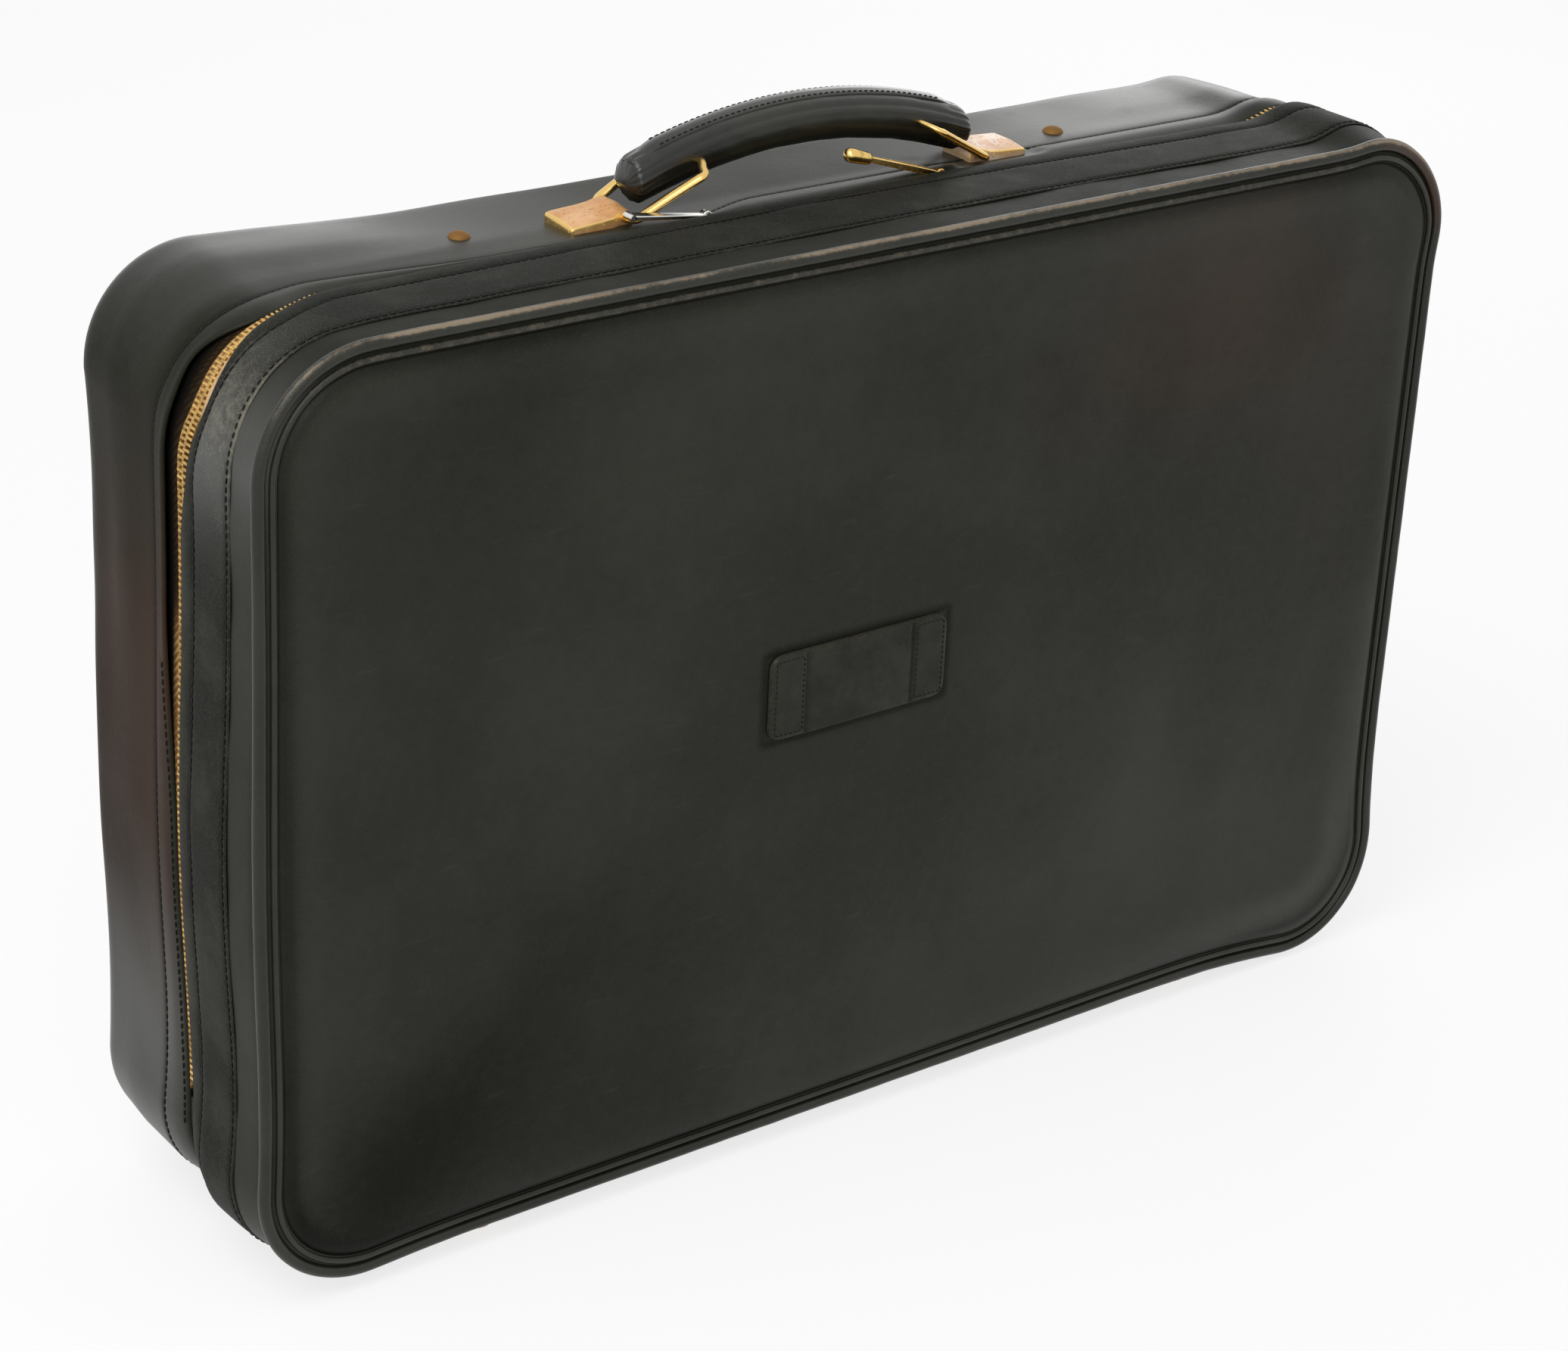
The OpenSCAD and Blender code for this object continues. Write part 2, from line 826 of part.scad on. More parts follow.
// The right-hand ring, with its lower pivot as its origin and its reach along -X.
module ring_loop() {
    half_w = ring_w / 2;
    bend = ring_corner_r;
    rotate([0, ring_angle, 0]) mirror([1, 0, 0]) {
        for (x = [0, ring_reach]) translate([x, half_w - bend, 0]) rotate([90, 0, 0])
            cylinder(r = ring_r, h = ring_w - 2 * bend);
        for (side = [-1, 1]) translate([bend, side * half_w, 0]) rotate([0, 90, 0])
            cylinder(r = ring_r, h = ring_reach - 2 * bend);
        for (corner = [[bend, -1, 180], [ring_reach - bend, -1, 270],
                       [ring_reach - bend, 1, 0], [bend, 1, 90]])
            translate([corner[0], corner[1] * (half_w - bend), 0]) rotate([0, 0, corner[2]])
                rotate_extrude(angle = 90) translate([bend, 0]) circle(ring_r);
    }
}

module left_ring() {
    color(brass) translate([handle_x, handle_y, pivot_z]) mirror([1, 0, 0])
        translate([ring_pivot_x, 0, 0]) ring_loop();
}

module right_ring() {
    color(brass) translate([handle_x + ring_pivot_x, handle_y, pivot_z]) ring_loop();
}

// A section swept along the grip's arch; its X is the height above the arch's middle line.
module arch_sweep(angle) {
    translate([handle_x, handle_y, arch_mid_z]) rotate([90, 0, 0]) rotate([0, 0, 90 - angle])
        rotate_extrude(angle = 2 * angle, $fn = 180) translate([grip_arch_r, 0]) children();
}

// The slots that the rings' upper bars run in as the handle lifts.
module grip_slots() {
    slot_r = ring_r + part_gap;
    for (sx = [-1, 1]) translate([handle_x, handle_y, grip_pin_z]) rotate([90, 0, 0]) {
        for (x = [grip_pin_x, lifted_pin_x]) translate([sx * x, 0, 0])
            cylinder(r = slot_r, h = 2 * grip_d, center = true);
        translate([sx * (grip_pin_x + lifted_pin_x) / 2, 0, 0])
            cube([lifted_pin_x - grip_pin_x, 2 * slot_r, 2 * grip_d], center = true);
    }
}

module grip() {
    end_z = arch_mid_z + grip_arch_r * cos(grip_end_angle);
    color(leather) difference() {
        union() {
            arch_sweep(grip_end_angle) circle(d = grip_d);
            for (sx = [-1, 1]) translate([handle_x + sx * grip_half, handle_y, end_z])
                sphere(d = grip_d - 2 * end_inset);
        }
        arch_sweep(grip_end_angle) square([core_t, core_w], center = true);
        grip_slots();
    }
}

// The stiff core inside the grip, which the rings hold.
module grip_core() {
    color(wood) difference() {
        arch_sweep(grip_end_angle) square([core_t, core_w], center = true);
        grip_slots();
    }
}

// The stitched leather strip along the top of the grip.
module grip_strip() {
    color(worn_leather) arch_sweep(grip_end_angle) intersection() {
        difference() {
            circle(d = grip_d + 2 * strip_t);
            circle(d = grip_d + 2 * glue_t);
        }
        translate([0, -strip_w / 2]) square([grip_d, strip_w]);
    }
}

lid_rails();
lid_corners();
front_board();
front_padding();
front_panel();
name_patch();
lid_wall();
lid_binding();
outer_piping();
inner_piping();
lid_zip_tape();
lid_zip_teeth();
lid_zip_stops();
lid_lining();
lid_pocket();
lid_feet();
body_rails();
body_corners();
back_board();
body_wall();
back_panel();
body_zip_tape();
body_zip_teeth();
body_zip_stops();
body_lining();
hinge_strip();
packing_straps();
strap_buckles();
backing_plate();
base_rivets();
stud_rivets();
left_handle_base();
right_handle_base();
body_feet();
left_slider();
right_slider();
left_pull();
right_pull();
left_ring();
right_ring();
grip();
grip_core();
grip_strip();
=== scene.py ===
"""The looks of a zip-round leather suitcase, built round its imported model.

Every length is in metres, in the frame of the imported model: +X to the right seen from the
lid, +Y from the lid to the body's back, +Z up. Along the rim, a section is drawn with a
step, which is the distance inwards from the case's outline, and a depth, which is the
distance in front of the zip's middle and is negative behind it.
"""

from __future__ import annotations

import json
import logging
import math
from dataclasses import dataclass, field
from enum import Enum
from typing import Iterable, Sequence, Union

import bpy
import numpy as np
from mathutils import Matrix, Vector


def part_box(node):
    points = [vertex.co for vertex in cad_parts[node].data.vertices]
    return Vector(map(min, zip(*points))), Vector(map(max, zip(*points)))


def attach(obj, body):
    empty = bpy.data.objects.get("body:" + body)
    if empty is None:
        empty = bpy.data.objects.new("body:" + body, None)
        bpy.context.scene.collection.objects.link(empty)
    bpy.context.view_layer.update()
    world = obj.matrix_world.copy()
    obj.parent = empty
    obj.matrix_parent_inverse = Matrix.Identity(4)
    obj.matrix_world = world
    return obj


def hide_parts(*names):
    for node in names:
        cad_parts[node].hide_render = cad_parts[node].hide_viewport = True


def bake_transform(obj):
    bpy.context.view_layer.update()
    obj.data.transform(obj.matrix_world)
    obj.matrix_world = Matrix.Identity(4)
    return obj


log = logging.getLogger("suitcase")

MM = 0.001
Array = np.ndarray
Triple = tuple[float, float, float]
Colour = Triple
Value = Union["Wire", float]


# Shaders


class Wire:
    """The output of a shader node, with arithmetic on values."""

    def __init__(self, graph: Graph, socket: bpy.types.NodeSocket) -> None:
        """Keep the socket and the graph that it belongs to."""
        self.graph = graph
        self.socket = socket

    def _math(self, operation: str, first: Value, second: Value) -> Wire:
        """Add one Math node and return its output."""
        return self.graph.node("Math", {"operation": operation}, {0: first, 1: second})

    def __add__(self, other: Value) -> Wire:
        """Sum with a value."""
        return self._math("ADD", self, other)

    def __radd__(self, other: Value) -> Wire:
        """Sum with a number on the left."""
        return self._math("ADD", other, self)

    def __sub__(self, other: Value) -> Wire:
        """Difference from a value."""
        return self._math("SUBTRACT", self, other)

    def __rsub__(self, other: Value) -> Wire:
        """Difference from a number on the left."""
        return self._math("SUBTRACT", other, self)

    def __mul__(self, other: Value) -> Wire:
        """Product with a value."""
        return self._math("MULTIPLY", self, other)

    def __rmul__(self, other: Value) -> Wire:
        """Product with a number on the left."""
        return self._math("MULTIPLY", other, self)

    def most(self, other: Value) -> Wire:
        """The larger of this and another value."""
        return self._math("MAXIMUM", self, other)


class Graph:
    """The node tree of one material."""

    def __init__(self, name: str) -> None:
        """Make an empty material.

        Args:
            name: the material's name.
        """
        self.material = bpy.data.materials.new(name)
        self.material.use_nodes = True
        self.tree = self.material.node_tree
        self.tree.nodes.clear()

    def node(self, kind: str, settings: dict | None = None, sockets: dict | None = None,
             output: int | str = 0) -> Wire:
        """Add a node.

        Args:
            kind: the node's type without its ShaderNode prefix.
            settings: its own settings, set first.
            sockets: the values or wires of its inputs, by name or number.
            output: which output to return.

        Returns:
            The wire from that output.
        """
        made = self.tree.nodes.new("ShaderNode" + kind)
        for name, value in (settings or {}).items():
            setattr(made, name, value)
        for key, value in (sockets or {}).items():
            if isinstance(value, Wire):
                self.tree.links.new(value.socket, made.inputs[key])
            else:
                made.inputs[key].default_value = value
        return Wire(self, made.outputs[output])

    def coordinates(self, stretch: Triple = (1.0, 1.0, 1.0)) -> Wire:
        """The place on the object in metres.

        Args:
            stretch: the factor along each axis.

        Returns:
            The place as a vector.
        """
        place = self.node("TexCoord", output="Object")
        if stretch == (1.0, 1.0, 1.0):
            return place
        return self.node("Mapping", {}, {"Vector": place, "Scale": stretch})

    def mark(self, name: str) -> Wire:
        """A value that the mesh holds at each point."""
        return self.node("Attribute", {"attribute_name": name}, output="Fac")

    def noise(self, place: Wire, per_metre: float, detail: float = 3.0,
              roughness: float = 0.55) -> Wire:
        """Soft noise from 0 to 1 with so many waves per metre."""
        sockets = {"Vector": place, "Scale": per_metre, "Detail": detail, "Roughness": roughness}
        return self.node("TexNoise", {}, sockets)

    def cells(self, place: Wire, per_metre: float) -> Wire:
        """Distance to the nearest cell's middle."""
        return self.node("TexVoronoi", {"feature": "F1"}, {"Vector": place, "Scale": per_metre})

    def step(self, value: Wire, low: float, high: float) -> Wire:
        """Rise smoothly from 0 at low to 1 at high."""
        settings = {"interpolation_type": "SMOOTHSTEP"}
        return self.node("MapRange", settings, {"Value": value, "From Min": low, "From Max": high})

    def mix(self, factor: Value, first: Wire | Colour, second: Wire | Colour) -> Wire:
        """Blend two colours.

        Args:
            factor: the second colour's share.
            first: the first colour.
            second: the second colour.

        Returns:
            The blend.
        """
        pair = [c if isinstance(c, Wire) else (*c, 1.0) for c in (first, second)]
        sockets = {0: factor, 6: pair[0], 7: pair[1]}
        return self.node("Mix", {"data_type": "RGBA"}, sockets, output=2)

    def bump(self, height: Wire, distance: float, under: Wire | None = None) -> Wire:
        """A bumped normal.

        Args:
            height: the height from 0 to 1.
            distance: what a height of 1 stands for.
            under: the normal that the bumps lie on, or None for the surface's own.

        Returns:
            The normal.
        """
        sockets = {"Height": height, "Distance": distance, "Strength": 1.0}
        if under is not None:
            sockets["Normal"] = under
        return self.node("Bump", {}, sockets)

    def finish(self, **sockets: Value | tuple) -> bpy.types.Material:
        """Close the material with one Principled shader.

        Args:
            sockets: the shader's sockets, with _ for each space in a name.

        Returns:
            The material.
        """
        named = {name.replace("_", " "): value for name, value in sockets.items()}
        surface = self.node("BsdfPrincipled", {}, named)
        self.node_output(surface)
        return self.material

    def node_output(self, surface: Wire) -> None:
        """Send a shader to the material's output."""
        output = self.tree.nodes.new("ShaderNodeOutputMaterial")
        self.tree.links.new(surface.socket, output.inputs["Surface"])


# Finishes


@dataclass(frozen=True)
class Leather:
    """Dyed leather with mottling, grain, creases, scuffs, worn edges, painted shade and highlights.
    """

    name: str
    dark: Colour = (0.0095, 0.0102, 0.0062)
    light: Colour = (0.0160, 0.0168, 0.0108)
    brown: Colour = (0.030, 0.0155, 0.0085)
    worn: Colour = (0.17, 0.115, 0.07)
    roughness: float = 0.42
    body_shine: float = 0.08
    polish: float = 0.26
    mottle: float = 7.0
    grain: float = 900.0
    grain_depth: float = 0.05 * MM
    crease_depth: float = 0.10 * MM
    crease_stretch: Triple = (1.0, 1.0, 0.35)
    speckle: float = 0.35
    scuffs: float = 0.5
    scuffed: Colour = (0.07, 0.068, 0.06)
    coat_roughness: float = 0.34

    def material(self) -> bpy.types.Material:
        """Build the material. It reads the marks wear, brown, gloss and shade of a mesh."""
        g = Graph(self.name)
        place = g.coordinates()
        cloud = g.step(g.noise(place, self.mottle, 4.0, 0.6), 0.36, 0.66)
        fine = g.noise(place, 160.0, 5.0, 0.7)
        shade = g.mark("shade")
        tone = g.mix(cloud * 0.75 + fine * 0.25, self.dark, self.light)
        browned = g.step(g.noise(place, 9.0, 3.0) * 0.5 + g.mark("brown"), 0.35, 1.15)
        tone = g.mix(browned, tone, self.brown)
        tone = g.mix(shade, tone, tuple(0.4 * c for c in self.dark))
        pores = g.cells(place, self.grain)
        speck = g.step(g.noise(place, 1400.0, 2.0), 0.52, 0.68)
        tone = g.mix(speck * self.speckle * g.mark("wear").most(0.10), tone, self.worn)
        # Noise that breaks up the mark wear, and with it the painted highlights that the mark
        # carries on some pieces.
        wear_and_highlight = g.noise(place, 210.0, 6.0, 0.75)
        wear = g.step(g.mark("wear") + (wear_and_highlight - 0.5) * 0.9, 0.45, 0.95)
        tone = g.mix(wear, tone, self.worn)
        streak = g.noise(g.coordinates((26.0, 26.0, 190.0)), 1.6, 3.0, 0.5)
        scuff = g.step(streak, 0.66, 0.76) * self.scuffs
        tone = g.mix(scuff * 0.12, tone, self.scuffed)
        creases = g.noise(g.coordinates(self.crease_stretch), 120.0, 4.0, 0.6)
        relief = g.bump(creases, self.crease_depth)
        relief = g.bump(pores + fine * 0.6, self.grain_depth, relief)
        shine = self.roughness + (cloud - 0.5) * 0.10 + (fine - 0.5) * 0.14
        shine = shine + wear * 0.18 + scuff * 0.12 - g.mark("gloss") * 0.16
        coat = self.polish + (cloud - 0.5) * 0.12 + (fine - 0.5) * 0.22 + g.mark("gloss") * 0.45
        coat = (coat - shade * self.polish - wear * 0.2).most(0.0)
        return g.finish(Base_Color=tone, Roughness=shine, Normal=relief, Coat_Weight=coat,
                        Coat_Roughness=self.coat_roughness, Specular_IOR_Level=self.body_shine)


class Plating(Enum):
    """The metals of the fittings."""

    BRASS = "brass"
    NICKEL = "nickel"
    COPPER = "copper"


@dataclass(frozen=True)
class Metal:
    """Plated metal that is worn, scratched and tarnished."""

    name: str
    plating: Plating
    tarnish: float = 0.3
    roughness: float = 0.2

    def colours(self) -> tuple[Colour, Colour]:
        """The bright and the tarnished colour."""
        return {
            Plating.BRASS: ((0.78, 0.53, 0.18), (0.24, 0.13, 0.045)),
            Plating.NICKEL: ((0.72, 0.70, 0.66), (0.30, 0.25, 0.19)),
            Plating.COPPER: ((0.55, 0.26, 0.11), (0.10, 0.045, 0.02)),
        }[self.plating]

    def material(self) -> bpy.types.Material:
        """Build the material. It reads the mark wear of a mesh."""
        g = Graph(self.name)
        place = g.coordinates()
        bright, dull = self.colours()
        blotch = g.noise(place, 130.0, 5.0, 0.7)
        stain = g.step(blotch + g.mark("wear") * 0.4, 0.72 - 0.4 * self.tarnish, 0.86)
        tone = g.mix(stain * (0.35 + 0.65 * self.tarnish), bright, dull)
        scratch = g.noise(g.coordinates((1.0, 9.0, 9.0)), 260.0, 3.0, 0.6)
        relief = g.bump(scratch, 0.03 * MM)
        relief = g.bump(blotch, 0.10 * MM, relief)
        shine = self.roughness + stain * 0.3 + (scratch - 0.5) * 0.12
        return g.finish(Base_Color=tone, Metallic=1.0, Roughness=shine, Normal=relief)


@dataclass(frozen=True)
class WornPlate:
    """Thin plating rubbed through to a pale, pitted, tan ground."""

    name: str
    ground: Colour = (0.55, 0.30, 0.14)
    pale: Colour = (0.72, 0.52, 0.36)
    pits: Colour = (0.16, 0.075, 0.03)
    bright: Colour = (0.80, 0.54, 0.19)

    def material(self) -> bpy.types.Material:
        """Build the material. It reads the mark wear of a mesh as bright edges."""
        g = Graph(self.name)
        place = g.coordinates()
        cloud = g.step(g.noise(place, 60.0, 4.0, 0.6), 0.35, 0.68)
        tone = g.mix(cloud, self.ground, self.pale)
        pit = g.step(g.noise(place, 640.0, 4.0, 0.75), 0.56, 0.66)
        tone = g.mix(pit * 0.75, tone, self.pits)
        glint = g.step(g.noise(place, 90.0, 4.0, 0.7), 0.60, 0.76)
        glint = glint.most(g.step(g.mark("wear") + (pit - 0.5) * 0.3, 0.35, 0.75))
        tone = g.mix(glint, tone, self.bright)
        relief = g.bump(1.0 - pit, 0.12 * MM)
        shine = 0.5 - glint * 0.22 + pit * 0.2
        metal = 0.35 + glint * 0.65
        return g.finish(Base_Color=tone, Metallic=metal, Roughness=shine, Normal=relief)


@dataclass(frozen=True)
class Weave:
    """Plain-woven cotton with uneven yarns."""

    name: str
    yarn: Colour
    shade: Colour
    # The near-black colour that the mark wear paints as shade on the zip's tapes.
    painted_shade: Colour = (0.004, 0.0035, 0.003)
    per_metre: float = 900.0
    depth: float = 0.12 * MM

    def material(self) -> bpy.types.Material:
        """Build the material. It reads the mark wear of a mesh as painted shade, towards near
        black.
        """
        g = Graph(self.name)
        place = g.coordinates()
        mirrored = g.coordinates((-1.0, 1.0, 1.0))
        settings = {"wave_type": "BANDS", "bands_direction": "DIAGONAL"}
        sockets = {"Scale": self.per_metre / 6.0, "Distortion": 0.6, "Detail": 2.0}
        warp, weft = (g.node("TexWave", settings, {"Vector": way, **sockets}, output="Fac")
                      for way in (place, mirrored))
        cloth = warp * weft
        cloud = g.noise(place, 14.0, 4.0, 0.6)
        tone = g.mix(g.step(cloth * 0.8 + cloud * 0.5, 0.1, 0.9), self.shade, self.yarn)
        tone = g.mix(g.mark("wear"), tone, self.painted_shade)
        relief = g.bump(cloth, self.depth)
        return g.finish(Base_Color=tone, Roughness=0.85, Normal=relief,
                        Specular_IOR_Level=0.03)


@dataclass(frozen=True)
class Plywood:
    """Bare plywood with long grain."""

    name: str
    early: Colour = (0.52, 0.34, 0.18)
    late: Colour = (0.30, 0.17, 0.08)

    def material(self) -> bpy.types.Material:
        """Build the material."""
        g = Graph(self.name)
        long_grain = g.coordinates((4.0, 60.0, 60.0))
        rings = g.noise(long_grain, 2.2, 6.0, 0.65)
        pores = g.noise(g.coordinates((20.0, 500.0, 500.0)), 2.0, 2.0)
        tone = g.mix(g.step(rings, 0.4, 0.62), self.early, self.late)
        relief = g.bump(pores, 0.05 * MM)
        return g.finish(Base_Color=tone, Roughness=0.6 + pores * 0.15, Normal=relief)


@dataclass(frozen=True)
class Thread:
    """Waxed sewing thread."""

    name: str
    colour: Colour = (0.0035, 0.0032, 0.0030)

    def material(self) -> bpy.types.Material:
        """Build the material."""
        g = Graph(self.name)
        ply = g.noise(g.coordinates(), 2600.0, 2.0)
        tone = g.mix(ply, self.colour, tuple(2.2 * c for c in self.colour))
        return g.finish(Base_Color=tone, Roughness=0.6, Normal=g.bump(ply, 0.05 * MM),
                        Specular_IOR_Level=0.2)


@dataclass
class Finishes:
    """Every material of the case, made once."""

    made: dict[str, bpy.types.Material] = field(default_factory=dict)

    def __post_init__(self) -> None:
        """Build each finish under a short name."""
        tan_cloth = ((0.50, 0.30, 0.115), (0.20, 0.10, 0.035))
        lining_cloth = ((0.42, 0.31, 0.20), (0.24, 0.17, 0.10))
        felt_cloth = ((0.62, 0.60, 0.54), (0.42, 0.40, 0.35))
        kinds = {
            "case": Leather("case_leather"),
            "panel": Leather("panel_leather", roughness=0.47, mottle=5.0, scuffs=0.8),
            # The binding's worn colour also paints a highlight on its upper left corner.
            "binding": Leather("binding_leather", dark=(0.0062, 0.0067, 0.0048),
                               light=(0.0165, 0.0170, 0.0122), worn=(0.15, 0.14, 0.10),
                               mottle=24.0, speckle=0.8, roughness=0.62, body_shine=0.08,
                               polish=0.05),
            "patch": Leather("patch_leather", mottle=20.0, speckle=0.6, polish=0.2),
            # The piping's worn colour also paints a highlight along the cords' tops.
            "piping": Leather("piping_leather", roughness=0.4, worn=(0.21, 0.165, 0.115),
                              body_shine=0.2, crease_stretch=(1.0, 1.0, 1.0)),
            "grip": Leather("grip_leather", dark=(0.0055, 0.0055, 0.005), roughness=0.36,
                            body_shine=0.2, crease_stretch=(0.3, 1.0, 1.0),
                            crease_depth=0.2 * MM),
            "strap": Leather("strap_leather", dark=(0.05, 0.03, 0.017),
                             light=(0.09, 0.052, 0.028), brown=(0.12, 0.06, 0.03),
                             worn=(0.22, 0.14, 0.08), body_shine=0.4),
            "brass": Metal("brass", Plating.BRASS),
            "old_brass": Metal("old_brass", Plating.BRASS, tarnish=1.3, roughness=0.42),
            "nickel": Metal("nickel", Plating.NICKEL, tarnish=0.12, roughness=0.2),
            "copper": Metal("copper", Plating.COPPER, tarnish=0.6, roughness=0.3),
            "tan_plate": WornPlate("tan_plate", (0.60, 0.29, 0.10), (0.72, 0.43, 0.22)),
            "pale_plate": WornPlate("pale_plate", (0.66, 0.42, 0.27), (0.86, 0.71, 0.60)),
            "teeth": Metal("zip_teeth", Plating.BRASS, tarnish=0.75, roughness=0.35),
            "tape": Weave("zip_tape", *tan_cloth),
            "lining": Weave("lining", *lining_cloth, per_metre=700.0),
            "felt": Weave("felt", *felt_cloth, per_metre=500.0),
            "wood": Plywood("plywood"),
            "thread": Thread("dark_thread"),
        }
        self.made = {name: kind.material() for name, kind in kinds.items()}

    def __getitem__(self, name: str) -> bpy.types.Material:
        """The material of that short name."""
        return self.made[name]


# Meshes


def smooth(value: Array | float, low: float, high: float) -> Array:
    """Rise smoothly from 0 at low to 1 at high."""
    share = np.clip((np.asarray(value, float) - low) / (high - low), 0.0, 1.0)
    return share * share * (3.0 - 2.0 * share)


def hill(value: Array | float, middle: float, width: float) -> Array:
    """A bell of height 1."""
    return np.exp(-(((np.asarray(value, float) - middle) / width) ** 2))


def mm(*sizes: float) -> Array:
    """A row of sizes given in millimetres."""
    return np.array(sizes) * MM


def circle(count: int) -> Array:
    """Angles evenly spaced round a circle."""
    return np.linspace(0, 2 * math.pi, count, endpoint=False)


def columns(count: int, *blocks: Array) -> Array:
    """Put blocks of columns side by side. A block of one row holds for every row."""
    return np.hstack([np.broadcast_to(block, (count, block.shape[-1])) for block in blocks])


def read_line(line: Array, travel: Array, spots: Array) -> Array:
    """Read off the rows of a line at spots along its travel."""
    return np.stack([np.interp(spots, travel, column) for column in line.T], axis=1)


def inset(points: Array, half: Array, radius: float = 0.0) -> Array:
    """How far points lie inside a rounded rectangle round the origin.

    Args:
        points: the points, with their two places along the last axis.
        half: half the rectangle's width and height.
        radius: the radius of its corners.

    Returns:
        The distance of each, which is negative outside.
    """
    out = np.abs(points) - (half - radius)
    beyond = np.linalg.norm(np.clip(out, 0, None), axis=-1)
    return radius - beyond - np.minimum(out.max(axis=-1), 0)


def front_box(node: str) -> tuple[Array, Array]:
    """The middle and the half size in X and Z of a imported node."""
    low, high = (np.array([corner.x, corner.z]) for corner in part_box(node))
    return (low + high) / 2, (high - low) / 2


def pivot(joint: str) -> list[float]:
    """The place of one of the record's joints."""
    return next(entry["pos_m"] for entry in FRAME["joints"] if entry["name"] == joint)


class Ripple:
    """Smooth seeded noise over a plane, made of a few dozen waves."""

    def __init__(self, seed: int, longest: float, shortest: float, waves: int = 28) -> None:
        """Draw the waves.

        Args:
            seed: the seed of the draw.
            longest: the longest wave.
            shortest: the shortest wave.
            waves: how many there are.
        """
        draw = np.random.default_rng(seed)
        lengths = np.exp(draw.uniform(math.log(shortest), math.log(longest), waves))
        turns = draw.uniform(0, 2 * math.pi, waves)
        self.vectors = 2 * math.pi / lengths[:, None] * np.c_[np.cos(turns), np.sin(turns)]
        self.phases = draw.uniform(0, 2 * math.pi, waves)
        self.heights = (lengths / longest) ** 0.8
        self.heights /= np.sqrt((self.heights ** 2).sum() / 2)

    def at(self, first: Array, second: Array) -> Array:
        """The noise at points of the plane.

        Args:
            first: their first places.
            second: their second places.

        Returns:
            The noise, mostly within -2 to 2.
        """
        places = np.stack(np.broadcast_arrays(first, second), axis=-1)
        waves = np.sin(places @ self.vectors.T + self.phases)
        return waves @ self.heights


@dataclass
class Shape:
    """The points and faces of a mesh, with named values at each point for its finish."""

    points: Array
    faces: list[tuple[int, ...]]
    marks: dict[str, Array] = field(default_factory=dict)

    @staticmethod
    def joined(shapes: Iterable[Shape]) -> Shape:
        """Make one shape from several.

        Args:
            shapes: the shapes. A mark that one of them lacks is 0 on it.

        Returns:
            All of them as one, with their marks.
        """
        shapes = list(shapes)
        names = sorted({name for shape in shapes for name in shape.marks})
        faces: list[tuple[int, ...]] = []
        start = 0
        for shape in shapes:
            faces += [tuple(i + start for i in face) for face in shape.faces]
            start += len(shape.points)
        marks = {}
        for name in names:
            parts = [s.marks.get(name, np.zeros(len(s.points))) for s in shapes]
            marks[name] = np.concatenate(parts)
        return Shape(np.concatenate([s.points for s in shapes]), faces, marks)

    def welded(self, gap: float = 0.001 * MM) -> Shape:
        """Make points that lie together one.

        Args:
            gap: how near they have to be.

        Returns:
            The shape without the faces that this shrinks to nothing.
        """
        keys = np.round(self.points / gap).astype(np.int64)
        _, first, number = np.unique(keys, axis=0, return_index=True, return_inverse=True)
        number = number.ravel()
        faces = []
        for face in self.faces:
            loop = [int(number[i]) for i in face]
            loop = [a for a, b in zip(loop, loop[-1:] + loop[:-1]) if a != b]
            if len(set(loop)) > 2:
                faces.append(tuple(loop))
        marks = {name: np.asarray(values)[first] for name, values in self.marks.items()}
        return Shape(self.points[first], faces, marks)

    def mark(self, **values: Array | float) -> Shape:
        """Set marks on this shape.

        Args:
            values: by the mark's name, one value, one for each point, or one row of them for
                each row of points. A row of one value holds for the whole row of points.

        Returns:
            The shape itself.
        """
        for name, value in values.items():
            table = np.atleast_2d(value)
            width = len(self.points) // len(table)
            self.marks[name] = np.broadcast_to(table, (len(table), width)).ravel()
        return self

    def piece(self, name: str, material: bpy.types.Material, rides: str | None,
              slot: str | None = None, stands_for: Sequence[str] = (),
              sharp: float | None = None) -> bpy.types.Object:
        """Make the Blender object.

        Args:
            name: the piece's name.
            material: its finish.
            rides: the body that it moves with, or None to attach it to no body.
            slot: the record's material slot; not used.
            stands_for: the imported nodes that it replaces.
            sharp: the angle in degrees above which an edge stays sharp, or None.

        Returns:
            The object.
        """
        mesh = bpy.data.meshes.new(name)
        mesh.from_pydata(self.points.tolist(), [], self.faces)
        mesh.validate()
        for mark, values in self.marks.items():
            layer = mesh.attributes.new(mark, "FLOAT", "POINT")
            layer.data.foreach_set("value", np.asarray(values, np.float32))
        mesh.materials.append(material)
        mesh.shade_smooth()
        if sharp is not None:
            mesh.set_sharp_from_angle(angle=math.radians(sharp))
        made = bpy.data.objects.new(name, mesh)
        bpy.context.scene.collection.objects.link(made)
        if rides is not None:
            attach(made, rides)
        if stands_for:
            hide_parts(*stands_for)
        log.info("%s: %d points, %d faces", name, len(self.points), len(self.faces))
        return made


